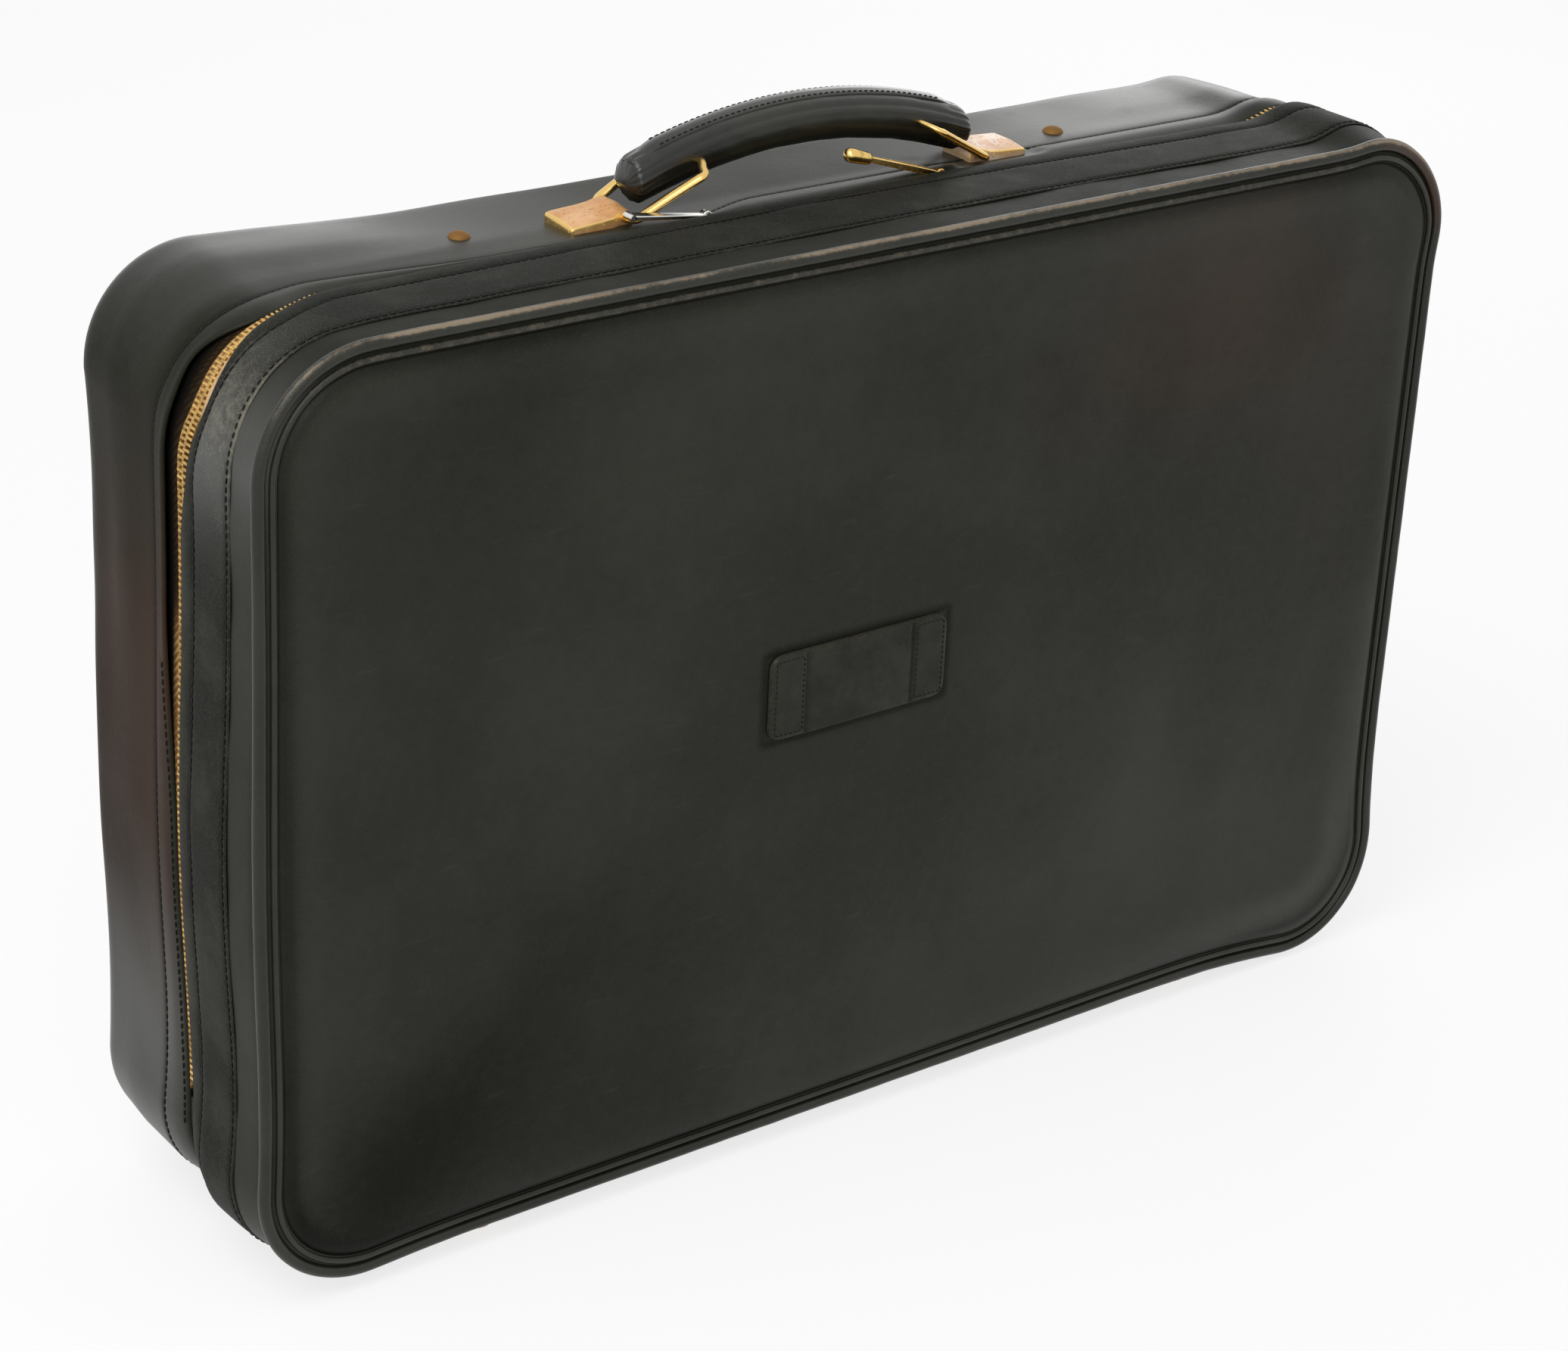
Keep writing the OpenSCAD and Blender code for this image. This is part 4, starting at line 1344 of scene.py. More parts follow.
@dataclass
class LidShell:
    """The lid's leather: its wall, binding, pipings, front panel and name patch."""

    rim: Rim
    finishes: Finishes
    front: float = 78 * MM
    wall_step: float = 4.5 * MM
    binding_step: float = 3.5 * MM
    rear_row: float = 17 * MM
    front_row: float = 46 * MM
    panel_edge: float = 11.3 * MM
    panel_rear: float = 75.0 * MM
    panel_plain: float = 75.6 * MM

    def wall(self) -> Shape:
        """The wall between the binding and the piping, with the bottom of the groove."""
        travel = self.rim.round_trip(4 * MM)
        outer = np.linspace(47, 73, 12) * MM
        ripple = Ripple(5, 120 * MM, 25 * MM).at(travel[:, None], outer)
        outer_step = self.wall_step + 0.2 * MM + 0.16 * MM * ripple
        steps = columns(len(travel), outer_step, mm(5.4, 7.0, 10.0, 20.4, 20.4, 6.2, 6.2))
        depths = np.concatenate([outer, mm(74.8, 75.9, 76.0, 76.0, 74.6, 74.6, 47.0)])
        here = self.rim.stations(travel)
        corner = hill(here.z, 434 * MM, 36 * MM) * here.left
        return self.rim.sweep(travel, steps, depths).mark(
            wear=0.12, brown=0.15 * here.left,
            gloss=1.5 * corner - 0.3 * here.left - 0.5 * here.top,
            shade=0.6 * here.top * (1 - corner))

    def lip(self, travel: Array) -> tuple[Array, Array]:
        """Where the binding's edge lies: taut down the sides, slack at the upper corners.

        Args:
            travel: stations along the rim.

        Returns:
            How far it lies before its plain place and how far inside it, as columns.
        """
        up, start = self.rim.up(travel), self.rim.top_start
        on_top = smooth(up, start - 70 * MM, start - 10 * MM)
        slack = self.rim.risen(travel, 365 * MM, 410 * MM)
        tight = self.rim.risen(travel, 70 * MM, 110 * MM) * (1 - slack) * (1 - on_top)
        slack = slack * (1 - on_top)
        near_corner = on_top * (1 - smooth(up, start, start + 22 * MM))
        ahead = 3.2 * MM * slack - 2.6 * MM * tight - 1.6 * MM * near_corner
        return ahead[:, None], (1.7 * MM * slack + 0.6 * MM * tight)[:, None]

    def at_rows(self, depth: Array, width: float) -> Array:
        """Bells of height 1 at the binding's two stitch rows."""
        return hill(depth, self.rear_row, width) + hill(depth, self.front_row, width)

    def binding(self) -> Shape:
        """The wide binding along the lid's edge, with a valley at each stitch row."""
        travel = self.rim.round_trip(4 * MM)
        depth = np.concatenate([
            mm(5.3, 5.9, 7.0, 8.6, 10.5, 12.5, 14.3, 15.6, 16.4, 17.0, 17.6, 18.4),
            np.linspace(20, 43, 10) * MM, mm(44.4, 45.4, 46.0, 46.6, 47.6, 48.4, 48.9)])
        lip_share = np.clip((depth - 5.5 * MM) / (11.5 * MM), 0, 1)
        band_share = np.clip((depth - 17 * MM) / (29 * MM), 0, 1)
        puff = 0.55 * MM * np.sin(math.pi * lip_share)
        puff = puff + 0.35 * MM * np.sin(math.pi * band_share) ** 0.5
        roll = 0.9 * MM * hill(depth, 5 * MM, 0.8 * MM) + 0.5 * MM * smooth(depth, 48 * MM, 49 * MM)
        valley = 0.45 * MM * self.at_rows(depth, 1 * MM)
        ripple = Ripple(7, 90 * MM, 14 * MM).at(travel[:, None], depth)
        outer = self.binding_step + 0.35 * MM - puff + valley + roll + 0.10 * MM * ripple
        steps = columns(len(travel), outer, mm(4.6, 4.6, 8.5, 8.5, 7.2, 5.6))
        depths = columns(len(travel), depth, mm(49.0, 19.0, 18.0, 6.4, 5.4, 5.2))
        ahead, inside = self.lip(travel)
        near_lip = 1 - smooth(depths, 5 * MM, 16 * MM)
        steps, depths = steps + inside * near_lip, depths + ahead * near_lip
        here = self.rim.stations(travel)
        upper = smooth(here.z, 200 * MM, 420 * MM)
        edges = hill(depths, 5.5 * MM, 3 * MM) + 0.7 * hill(depths, 48.5 * MM, 2.5 * MM)
        # Partly real rubbing, partly a painted highlight: a pale, glossier patch on the upper left
        # corner, given by the marks wear and gloss.
        wear_and_highlight = hill(here.z, 430 * MM, 42 * MM) * here.left * smooth(depths, 12 * MM, 22 * MM)
        return self.rim.sweep(travel, steps, depths).mark(
            wear=0.18 + 0.20 * edges + 0.20 * here.corner * upper + 0.34 * wear_and_highlight,
            gloss=2.0 * wear_and_highlight,
            shade=0.4 * here.top * (1 - here.left) + 0.8 * self.at_rows(depths, 0.8 * MM))

    def pipings(self) -> tuple[Shape, Shape]:
        """The thick outer piping and the thin inner one."""
        travel = self.rim.round_trip(3 * MM)
        turns = circle(18)
        wobble = Ripple(3, 60 * MM, 9 * MM).at(travel[:, None], np.zeros(1))
        outer = self._cord(travel, 3 * MM + 0.05 * MM * wobble, 3.1 * MM, 3 * MM, turns)
        inner = self._cord(travel, 1.6 * MM + 0.04 * MM * wobble, 9.3 * MM, 1.9 * MM, turns)
        here = self.rim.stations(travel)
        top, right = here.top, here.right
        # The cords' mark wear is partly real wear and partly a painted highlight: pale along the
        # outer cord's upward crest, most on top and to the right, and pale on top of the inner
        # cord.
        patchy = 0.5 + 0.25 * Ripple(19, 160 * MM, 30 * MM).at(travel[:, None], np.zeros(1))
        run = 0.45 * top + 0.55 * top * patchy + 0.6 * right * top + 0.45 * right * patchy + 0.12
        crest_wear_and_highlight = np.clip(np.cos(turns - math.radians(62)), 0, 1) ** 4
        outer.mark(wear=run * crest_wear_and_highlight, brown=np.clip(right * top * 3, 0, 1))
        return outer, inner.mark(wear=0.16 + 0.34 * top)

    def _cord(self, travel: Array, radius: Array, step: float, behind: float,
              turns: Array) -> Shape:
        """A round cord along the rim. Its section turns from the front, outwards."""
        depths = self.front - behind + radius * np.cos(turns)
        return self.rim.sweep(travel, step - radius * np.sin(turns), depths)

    def inward(self, flat: Array) -> Array:
        """How far points of the front lie inside the front panel's edge."""
        return inset(flat - self.rim.middle, self.rim.half, self.rim.radius) - self.panel_edge

    def panel_depth(self, flat: Array) -> Array:
        """How far the puffed front panel stands before the zip.

        Args:
            flat: points of the front, with X and Z along the last axis.

        Returns:
            The depth at each.
        """
        x, z, inward = flat[..., 0], flat[..., 1], self.inward(flat)
        rise = smooth(inward, -1.0 * MM, 6 * MM) * 2.3 * MM
        ridge = 1.0 * MM * hill(inward, 11 * MM, 8 * MM)
        dish = -0.5 * MM * smooth(inward, 18 * MM, 50 * MM)
        swell = 1.1 * MM * smooth(inward, 30 * MM, 150 * MM)
        broad = 0.5 * MM * Ripple(23, 420 * MM, 150 * MM, 14).at(x, z)
        local = 0.10 * MM * Ripple(31, 130 * MM, 35 * MM).at(x, z)
        loose = smooth(inward, 8 * MM, 60 * MM)
        return self.panel_plain + rise + ridge + dish + swell + (broad + local) * loose

    def panel(self) -> Shape:
        """The front panel's skin, closed behind."""
        travel = self.rim.round_trip(3.5 * MM)
        points, normals = self.rim.at(travel)
        reach = self.rim.half[0] - self.rim.half[1]
        core_x = np.clip(points[:, 0], -reach, reach)
        core = np.c_[core_x, np.full(len(travel), self.rim.middle[1])]
        edge = points - normals * self.panel_edge
        outer = np.zeros((len(travel), 1))
        pushed = normals * self.rim.push(points, outer, outer + self.front)[0]
        share = np.concatenate([np.linspace(0, 0.16, 14), np.linspace(0.16, 1.0, 90)[1:]])
        rows = []
        for t in share[::-1]:
            flat = edge * (1 - t) + core * t
            rows.append(self.rim.before(flat + pushed * (1 - t), self.panel_depth(flat)))
        for flat in (edge + pushed + normals * 0.2 * MM, core):
            rows.append(self.rim.before(flat, self.panel_rear))
        grid = np.transpose(np.array(rows), (1, 0, 2))
        shape = lattice(grid, closed_rows=True, closed_columns=False, caps=False)
        return shape.mark(**self._panel_marks(grid[..., [0, 2]])).welded()

    def _panel_marks(self, flat: Array) -> dict[str, Array]:
        """The front panel's marks of wear, browning, gloss and shade.

        Args:
            flat: points of the front, with X and Z along the last axis.

        Returns:
            The marks by name.
        """
        x, z, inward = flat[..., 0], flat[..., 1], self.inward(flat)
        brown = 0.55 * hill(x, 190 * MM, 110 * MM) * hill(z, 400 * MM, 90 * MM)
        brown = brown + 0.30 * hill(x, 290 * MM, 50 * MM) * hill(z, 250 * MM, 120 * MM)
        wear = 0.16 * hill(inward, 8 * MM, 5 * MM) + 0.05
        right_low = smooth(x, 60 * MM, 330 * MM) * smooth(-z, -330 * MM, -60 * MM)
        gloss = (0.10 + 0.55 * right_low) * hill(inward, 14 * MM, 9 * MM)
        gloss = gloss + 0.14 * hill(x, 170 * MM, 110 * MM) * hill(z, 130 * MM, 60 * MM)
        gloss = gloss + 0.35 * hill(x, 300 * MM, 20 * MM) * hill(z, 400 * MM, 45 * MM)
        # A dark streak climbs from the lower left corner.
        slope, length = 1.15, 1.52
        run, climb = x + 345 * MM, z - 12 * MM
        across, along = (run - slope * climb) / length, (slope * run + climb) / length
        shade = 0.55 * hill(across, 6 * MM, 36 * MM) * (1 - smooth(along, 90 * MM, 330 * MM))
        shade = shade + 0.22 * hill(x, -230 * MM, 130 * MM) * hill(z, 60 * MM, 90 * MM)
        shade = shade + 0.6 * hill(inward, 2 * MM, 4 * MM)
        middle, half = front_box("name_patch")
        shade = shade + 0.9 * hill(-inset(flat - middle, half), 1 * MM, 2.2 * MM)
        shade = np.clip(shade + 0.05 * Ripple(53, 240 * MM, 60 * MM).at(x, z), 0, 1)
        return {"wear": wear, "brown": brown, "gloss": gloss, "shade": shade}

    def stitches(self) -> Shape:
        """The two stitch rows of the binding."""
        travel, step = self.rim.round_trip(1 * MM), self.binding_step + 0.45 * MM
        return Shape.joined(StitchRow().round_rim(self.rim, travel, step, depth)
                            for depth in (self.rear_row, self.front_row))

    def build(self) -> None:
        """Make the pieces of the lid's outside."""
        made = self.finishes
        self.wall().piece("lid_leather", made["case"], "lid", "case_leather", ["lid_wall"])
        self.binding().piece("binding", made["binding"], "lid", "binding_leather", ["lid_binding"])
        for name, cord in zip(("outer", "inner"), self.pipings()):
            cord.piece(name + "_cord", made["piping"], "lid", "piping_leather",
                       [name + "_piping"])
        self.panel().piece("panel", made["panel"], "lid", "case_leather", ["front_panel"])
        self.stitches().piece("binding_stitches", made["thread"], "lid", "binding_leather")
        NamePatch(self, made).build()


@dataclass
class NamePatch:
    """The bare leather patch on the front, sewn on by a field at each end."""

    lid: LidShell
    finishes: Finishes
    radius: float = 7 * MM
    end_field: float = 22 * MM
    rise: float = 2.2 * MM
    field_rise: float = 0.5 * MM
    crease_depth: float = 0.8 * MM
    sunk: float = 0.4 * MM
    spacing: float = 2 * MM
    margin: float = 3.2 * MM
    inner_margin: float = 2.5 * MM

    def __post_init__(self) -> None:
        """Find the patch's place from its packed box."""
        self.middle, self.half = front_box("name_patch")

    def leather(self) -> Shape:
        """The patch with its rounded edge, and a crease before each end field."""
        axes = [self._spread(half) for half in self.half]
        grid = self._rounded(np.stack(np.meshgrid(*axes, indexing="ij"), axis=-1))
        flat, across = grid + self.middle, np.abs(grid[..., 0])
        edge = inset(grid, self.half, self.radius)
        line = self.half[0] - self.end_field
        crease = hill(across, line, 0.9 * MM) * smooth(edge, 0.5 * MM, 2 * MM)
        ends = smooth(across, line, line + 1.5 * MM) * smooth(edge, 0.5 * MM, 2.5 * MM)
        ground = self.lid.panel_depth(flat)
        face = ground + self.rise * smooth(edge, -0.4 * MM, 1.1 * MM)
        face = face - self.crease_depth * crease + self.field_rise * ends
        shape = self._closed(self.lid.rim.before(flat, face),
                             self.lid.rim.before(flat, ground - self.sunk))
        wear = 0.28 * hill(edge, 0.6 * MM, 1.0 * MM) + 0.08
        shade = np.clip(0.8 * crease + 0.4 * (1 - smooth(edge, 0.0, 0.5 * MM)), 0, 1)
        return shape.mark(wear=np.stack([wear, 0 * wear]).ravel(),
                          shade=np.stack([shade, 0 * shade]).ravel())

    def _spread(self, half: float) -> Array:
        """Places across the patch, closer at its edges.

        Args:
            half: half the patch's size.

        Returns:
            The places, from one edge to the other.
        """
        edge = mm(0, 0.35, 0.8, 1.3)
        reach = half - self.spacing
        inner = np.linspace(-reach, reach, round(2 * half / self.spacing))
        return np.concatenate([-half + edge, inner, (half - edge)[::-1]])

    def _rounded(self, grid: Array) -> Array:
        """Pull a grid's corners in to the patch's round corners.

        Args:
            grid: the grid, from the patch's middle.

        Returns:
            The grid with its corners rounded.
        """
        centre = self.half - self.radius
        out = np.abs(grid) - centre
        corner = (out > 0).all(axis=-1, keepdims=True)
        reach = np.where(corner, np.linalg.norm(out, axis=-1, keepdims=True), 1.0)
        pull = out.max(axis=-1, keepdims=True) / reach
        return np.where(corner, np.sign(grid) * (centre + out * pull), grid)

    @staticmethod
    def _closed(front: Array, back: Array) -> Shape:
        """Join a front and a back grid round their edges.

        Args:
            front: the points of the front.
            back: the points behind them.

        Returns:
            The closed shape.
        """
        face, rear = (lattice(grid, closed_columns=False, caps=False) for grid in (front, back))
        count = front.shape[0] * front.shape[1]
        faces = [f[::-1] for f in face.faces]
        faces += [tuple(i + count for i in f) for f in rear.faces]
        index = np.arange(count).reshape(front.shape[:2])
        border = np.concatenate([index[:-1, 0], index[-1, :-1], index[:0:-1, -1], index[0, :0:-1]])
        for a, b in zip(border, np.roll(border, -1)):
            faces.append((int(a), int(b), int(b) + count, int(a) + count))
        return Shape(np.concatenate([face.points, rear.points]), faces)

    def stitches(self) -> Shape:
        """A rectangle of stitches in each end field."""
        row = StitchRow(pitch=2.6 * MM, length=1.9 * MM, width=0.6 * MM, sink=0.05 * MM)
        outer, top = self.half - self.margin
        inner = self.half[0] - self.end_field + self.inner_margin
        loop = np.array([(outer, -top), (outer, top), (inner, top), (inner, -top),
                         (outer, -top)])
        made = []
        for side in (-1, 1):
            for a, b in zip(loop[:-1], loop[1:]):
                line = a + np.linspace(0, 1, 40)[:, None] * (b - a)
                flat = line * (side, 1) + self.middle
                depth = self.lid.panel_depth(flat) + self.rise + self.field_rise
                points = self.lid.rim.before(flat, depth)
                made.append(row.along(points, np.broadcast_to([0.0, -1.0, 0.0], points.shape)))
        return Shape.joined(made)

    def build(self) -> None:
        """Make the patch and its stitches."""
        made = self.finishes
        self.leather().piece("patch", made["patch"], "lid", "binding_leather", ["name_patch"])
        self.stitches().piece("patch_stitches", made["thread"], "lid", "binding_leather")


# The zip


@dataclass
class Zip:
    """The zip's tapes and single teeth. Side 1 is the lid's, -1 the body's."""

    rim: Rim
    finishes: Finishes
    end_z: float = 82 * MM
    tape_step: float = 8.7 * MM
    tape_thickness: float = 0.8 * MM
    cord: float = 0.7 * MM
    root: float = 4.2 * MM
    root_overlap: float = 0.6 * MM
    open_head: float = 0.6 * MM
    closed_head: float = -0.8 * MM
    pitch: float = 3.2 * MM
    bare_end: float = 6 * MM
    tooth_width: float = 1.5 * MM
    tooth_height: float = 2.9 * MM
    tooth_chamfer: float = 0.3 * MM

    def ends(self) -> tuple[float, float]:
        """The travel of the zip's left and right ends."""
        start = self.rim.climb(self.end_z)
        return start, self.rim.length - start

    def teeth(self, side: int) -> Shape:
        """One row of teeth, apart between the sliders and closed elsewhere.

        Args:
            side: 1 for the lid's row, -1 for the body's.

        Returns:
            All its teeth.
        """
        start, end = self.ends()
        shift = self.pitch / 2 if side > 0 else 0.0
        travel = np.arange(start + self.bare_end + shift, end - self.bare_end, self.pitch)
        here = self.rim.stations(travel)
        x, on_top = here.x[:, 0], here.out_z[:, 0] > 0.99
        between = (x > pivot("left_pull_hinge")[0]) & (x < pivot("right_pull_hinge")[0])
        head = np.where(on_top & between, self.open_head, self.closed_head)
        width = self.root + self.root_overlap - head
        middle_step = self.tape_step + self.tape_thickness / 2
        origins = self.rim.place(travel, middle_step, side * (head + width / 2))
        up = self.rim.outward(travel)
        across = -side * width[:, None] * np.array([0.0, 1.0, 0.0])
        frames = np.stack([np.cross([0.0, 1.0, 0.0], up), across, up], axis=1)
        tooth = chamfered_box((self.tooth_width, 1.0, self.tooth_height), self.tooth_chamfer)
        return copies(tooth, origins, frames).mark(wear=0.3)

    def tape(self, side: int) -> Shape:
        """One woven tape with its corded edge, with painted shade towards the leather and under it.

        Args:
            side: 1 for the lid's tape, -1 for the body's.

        Returns:
            The shape.
        """
        travel = np.linspace(*self.ends(), 420)
        depth = mm(4.4, 5.1, 5.9, 6.6, 12.0, 17.9)
        bead = self.cord * np.array([-0.5, -1.0, -0.5, 0.0, 0.0, 0.0])
        under = self.tape_step + self.tape_thickness
        steps = np.concatenate([self.tape_step + bead, (under - bead)[::-1]])
        depths = np.concatenate([depth, depth[::-1]])
        # Painted shade: beyond a reach from the zip's middle, where the leather's edge overhangs
        # the tape, it darkens to near black; on the body's side the reach is shorter at the upper
        # corners and on top. Lower down, the whole tape is darkened by at least a third.
        upper = self.rim.risen(travel, 250 * MM, 340 * MM)[:, None]
        reach = 9.0 * MM - 3.4 * MM * upper if side < 0 else 6.0 * MM
        tape_shade = smooth(depths - reach, 0.0, 1.2 * MM).clip(0.35 * (1 - upper), 1)
        return self.rim.sweep(travel, steps, side * depths, closed=False).mark(wear=tape_shade)

    def build(self) -> None:
        """Make the zip's pieces."""
        made = self.finishes
        for side, body, half in ((1, "lid", "lid"), (-1, "case_body", "body")):
            self.tape(side).piece(half + "_tape", made["tape"], body, "tape",
                                  [half + "_zip_tape"])
            self.teeth(side).piece(half + "_teeth", made["teeth"], body, "brass",
                                   [half + "_zip_teeth"], sharp=40)


# The handle


# Pressed lines and ridges along the grip: the angle round it, the height and the width in
# degrees. An angle of 90 is the top.
RIDGES = ((34, -0.65 * MM, 3.6), (146, -0.65 * MM, 3.6), (22, 0.35 * MM, 6),
          (158, 0.35 * MM, 6), (48, 0.35 * MM, 6), (132, 0.35 * MM, 6), (270, -0.6 * MM, 3.0))


@dataclass
class Handle:
    """Bases, rings, the arched grip and the zip's pulls. Side -1 is the left one, 1 the right."""

    finishes: Finishes
    ring_radius: float = 2.0 * MM
    ring_reach: float = 45 * MM
    ring_angle: float = math.radians(29)
    ring_width: float = 38.5 * MM
    ring_bend: float = 4.5 * MM
    ring_thinning: float = 0.45 * MM
    ring_flatness: float = 1.45
    grip_radius: float = 12 * MM
    arch: float = 280 * MM
    grip_half: float = 95 * MM
    grip_ends: tuple[float, float] = (5 * MM, 9.5 * MM)
    bluntness: float = 0.625
    strip_low: float = 10.4 * MM
    strip_under: float = 9.8 * MM
    strip_top: float = 12.8 * MM
    pinch: float = 3.6 * MM
    splay: dict[int, float] = field(default_factory=lambda: {-1: 6.5 * MM, 1: 5.5 * MM})
    skew: dict[int, float] = field(default_factory=lambda: {-1: 2.0 * MM, 1: 1.0 * MM})
    pull_rise: dict[int, float] = field(default_factory=lambda: {-1: 8.0, 1: 17.0})

    def __post_init__(self) -> None:
        """Find the pivots and the arch's centre from the record."""
        self.left_pivot = Vector(pivot("left_ring_hinge"))
        self.right_pivot = Vector(pivot("right_ring_hinge"))
        self.middle = (self.left_pivot + self.right_pivot) / 2
        pin_x = (self.right_pivot.x - self.middle.x
                 - self.ring_reach * math.cos(self.ring_angle))
        pin_z = self.right_pivot.z + self.ring_reach * math.sin(self.ring_angle)
        self.centre_z = pin_z - math.sqrt(self.arch ** 2 - pin_x ** 2)

    def ring(self, side: int) -> Shape:
        """A ring bent from flattened bar, with its front side splayed, and thinner in the grip.

        Args:
            side: -1 for the left one, 1 for the right one.

        Returns:
            The shape.
        """
        half, bend, reach = self.ring_width / 2, self.ring_bend, self.ring_reach
        corners = [(bend, -half + bend, 180), (reach - bend, -half + bend, 270),
                   (reach - bend, half - bend, 0), (bend, half - bend, 90)]
        loop = [(x + bend * math.cos(angle), y + bend * math.sin(angle))
                for x, y, start in corners
                for angle in np.radians(np.linspace(start, start + 90, 9))]
        flat = self._spaced(np.array(loop), 1.2 * MM)
        splay = self.splay[side] * (np.clip(flat[:, 0], 0, None) / reach) ** 1.5
        across = flat[:, 1] * np.where(flat[:, 1] < 0, 1 + splay / half, 1 - self.pinch / half)
        bent = self.skew[side] * flat[:, 0] / reach * smooth(-flat[:, 1], 10 * MM, 17 * MM)
        x = -side * (flat[:, 0] - 2 * bent) * math.cos(self.ring_angle)
        z = flat[:, 0] * math.sin(self.ring_angle) - bent
        hub = self.left_pivot if side < 0 else self.right_pivot
        path = np.c_[hub.x + x, hub.y + across, hub.z + z]
        normal = (side * math.sin(self.ring_angle), 0.0, math.cos(self.ring_angle))
        in_grip = smooth(flat[:, 0], reach - 5 * MM, reach - 1.5 * MM)
        radii = self.ring_radius - self.ring_thinning * in_grip
        ring = tube(path, radii, 18, closed=True, flat=self.ring_flatness, facing=normal)
        return ring.mark(wear=0.1)

    @staticmethod
    def _spaced(loop: Array, spacing: float) -> Array:
        """Evenly spaced points round a closed loop.

        Args:
            loop: its corners.
            spacing: about how far apart the points are to lie.

        Returns:
            The points.
        """
        closed = np.vstack([loop, loop[:1]])
        gaps = np.linalg.norm(np.diff(closed, axis=0), axis=1)
        travel = np.concatenate([[0.0], np.cumsum(gaps)])
        keep = np.concatenate([[True], gaps > 1e-9])
        spots = np.linspace(0, travel[-1], round(travel[-1] / spacing), endpoint=False)
        return read_line(closed[keep], travel[keep], spots)

    def grip(self) -> Shape:
        """The leather grip: a ridged roll, gathered into blunt ends."""
        end = math.asin(self.grip_half / self.arch)
        turn = np.radians(np.linspace(0, 89.4, 14)[1:])
        cap, rim = np.sin(turn) ** self.bluntness, np.cos(turn) ** self.bluntness
        left_end, right_end = self.grip_ends
        straight = np.linspace(-end, end, 110)
        angles = np.concatenate([np.full(13, -end), straight, np.full(13, end)])[:, None]
        beyond = np.concatenate([-cap[::-1] * left_end, np.zeros(110), cap * right_end])[:, None]
        scale = np.concatenate([rim[::-1], np.ones(110), rim])[:, None]
        turns = circle(96)
        degrees = np.degrees(turns)
        run = angles * self.arch + beyond
        gathered = smooth(np.abs(run), 70 * MM, 100 * MM)
        folds = np.sin(13 * turns + 0.6) + 0.6 * np.sin(23 * turns + 2.0)
        ridge = sum(height * hill(degrees, place, width) for place, height, width in RIDGES)
        ripple = Ripple(41, 50 * MM, 8 * MM).at(run, 12 * MM * turns)
        radius = self.grip_radius + ridge + 0.30 * MM * folds * gathered + 0.12 * MM * ripple
        radius = (radius - 0.8 * MM * gathered) * scale
        reach = radius * np.sin(turns)
        cut = 0.40 * np.clip(reach, 0, None) * smooth(np.abs(run), 84 * MM, 96 * MM)
        beyond = beyond - np.sign(run) * cut
        rows = self.over(angles, reach, radius * np.cos(turns))
        rows[..., 0] += np.cos(angles) * beyond
        rows[..., 2] -= np.sin(angles) * beyond
        lower = hill(degrees, 200, 26) + hill(degrees, 340, 26)
        upper = hill(degrees, 90, 50)
        crest = np.clip(folds, 0, 1) * gathered
        return lattice(rows).mark(
            wear=0.24 * lower + 0.10 * upper + 0.18 * crest,
            gloss=0.9 * upper + 0.6 * crest + 0.25,
            shade=0.7 * (1 - crest) * gathered * lower)

    def over(self, angle: Array, rise: Array | float, across: Array | float) -> Array:
        """Points over the grip's arched middle line.

        Args:
            angle: their angles along the arch.
            rise: how far they lie above the line.
            across: how far behind it.

        Returns:
            The points.
        """
        x = self.middle.x + np.sin(angle) * (self.arch + rise)
        z = self.centre_z + np.cos(angle) * (self.arch + rise)
        return np.stack(np.broadcast_arrays(x, self.middle.y + across, z), axis=-1)

    def strip(self) -> Shape:
        """The strip sewn along the grip's top, flatter towards its ends."""
        end = math.asin(self.grip_half / self.arch)
        angles = np.linspace(-end, end, 120)[:, None]
        across = mm(-6.0, -5.9, -5.2, -4.2, -2.2, 0, 2.2, 4.2, 5.2, 5.9, 6.0)
        top = mm(11.9, 12.5, 12.95, 12.75, 13.1, 13.2, 13.1, 12.75, 12.95, 12.5, 11.9)
        full = 1 - smooth(np.abs(angles) * self.arch, 78 * MM, 95 * MM)
        upper = self.strip_low + (top - self.strip_low) * (0.15 + 0.85 * full)
        spread = across * (0.8 + 0.2 * full)
        radius = np.hstack([upper, np.full(upper.shape, self.strip_under)])
        turn = np.hstack([spread, spread[:, ::-1]]) / self.grip_radius
        rows = self.over(angles, radius * np.cos(turn), radius * np.sin(turn))
        edge = smooth(np.abs(np.concatenate([across, across[::-1]])), 4.6 * MM, 5.8 * MM)
        wear = np.tile(0.12 + 0.30 * edge, (len(angles), 1))
        return lattice(rows).mark(wear=wear, gloss=0.95)

    def strip_stitches(self) -> Shape:
        """Two rows of stitches along the strip."""
        end = 0.84 * math.asin(self.grip_half / self.arch)
        angles = np.linspace(-end, end, 300)
        row = StitchRow(pitch=3.4 * MM, length=2.5 * MM, width=0.7 * MM, sink=0.0)
        made = []
        for turn in (-4.3 * MM / self.grip_radius, 4.3 * MM / self.grip_radius):
            rise, across = self.strip_top * math.cos(turn), self.strip_top * math.sin(turn)
            outward = np.c_[np.sin(angles), np.full(300, math.sin(turn)), np.cos(angles)]
            made.append(row.along(self.over(angles, rise, across), outward))
        return Shape.joined(made)

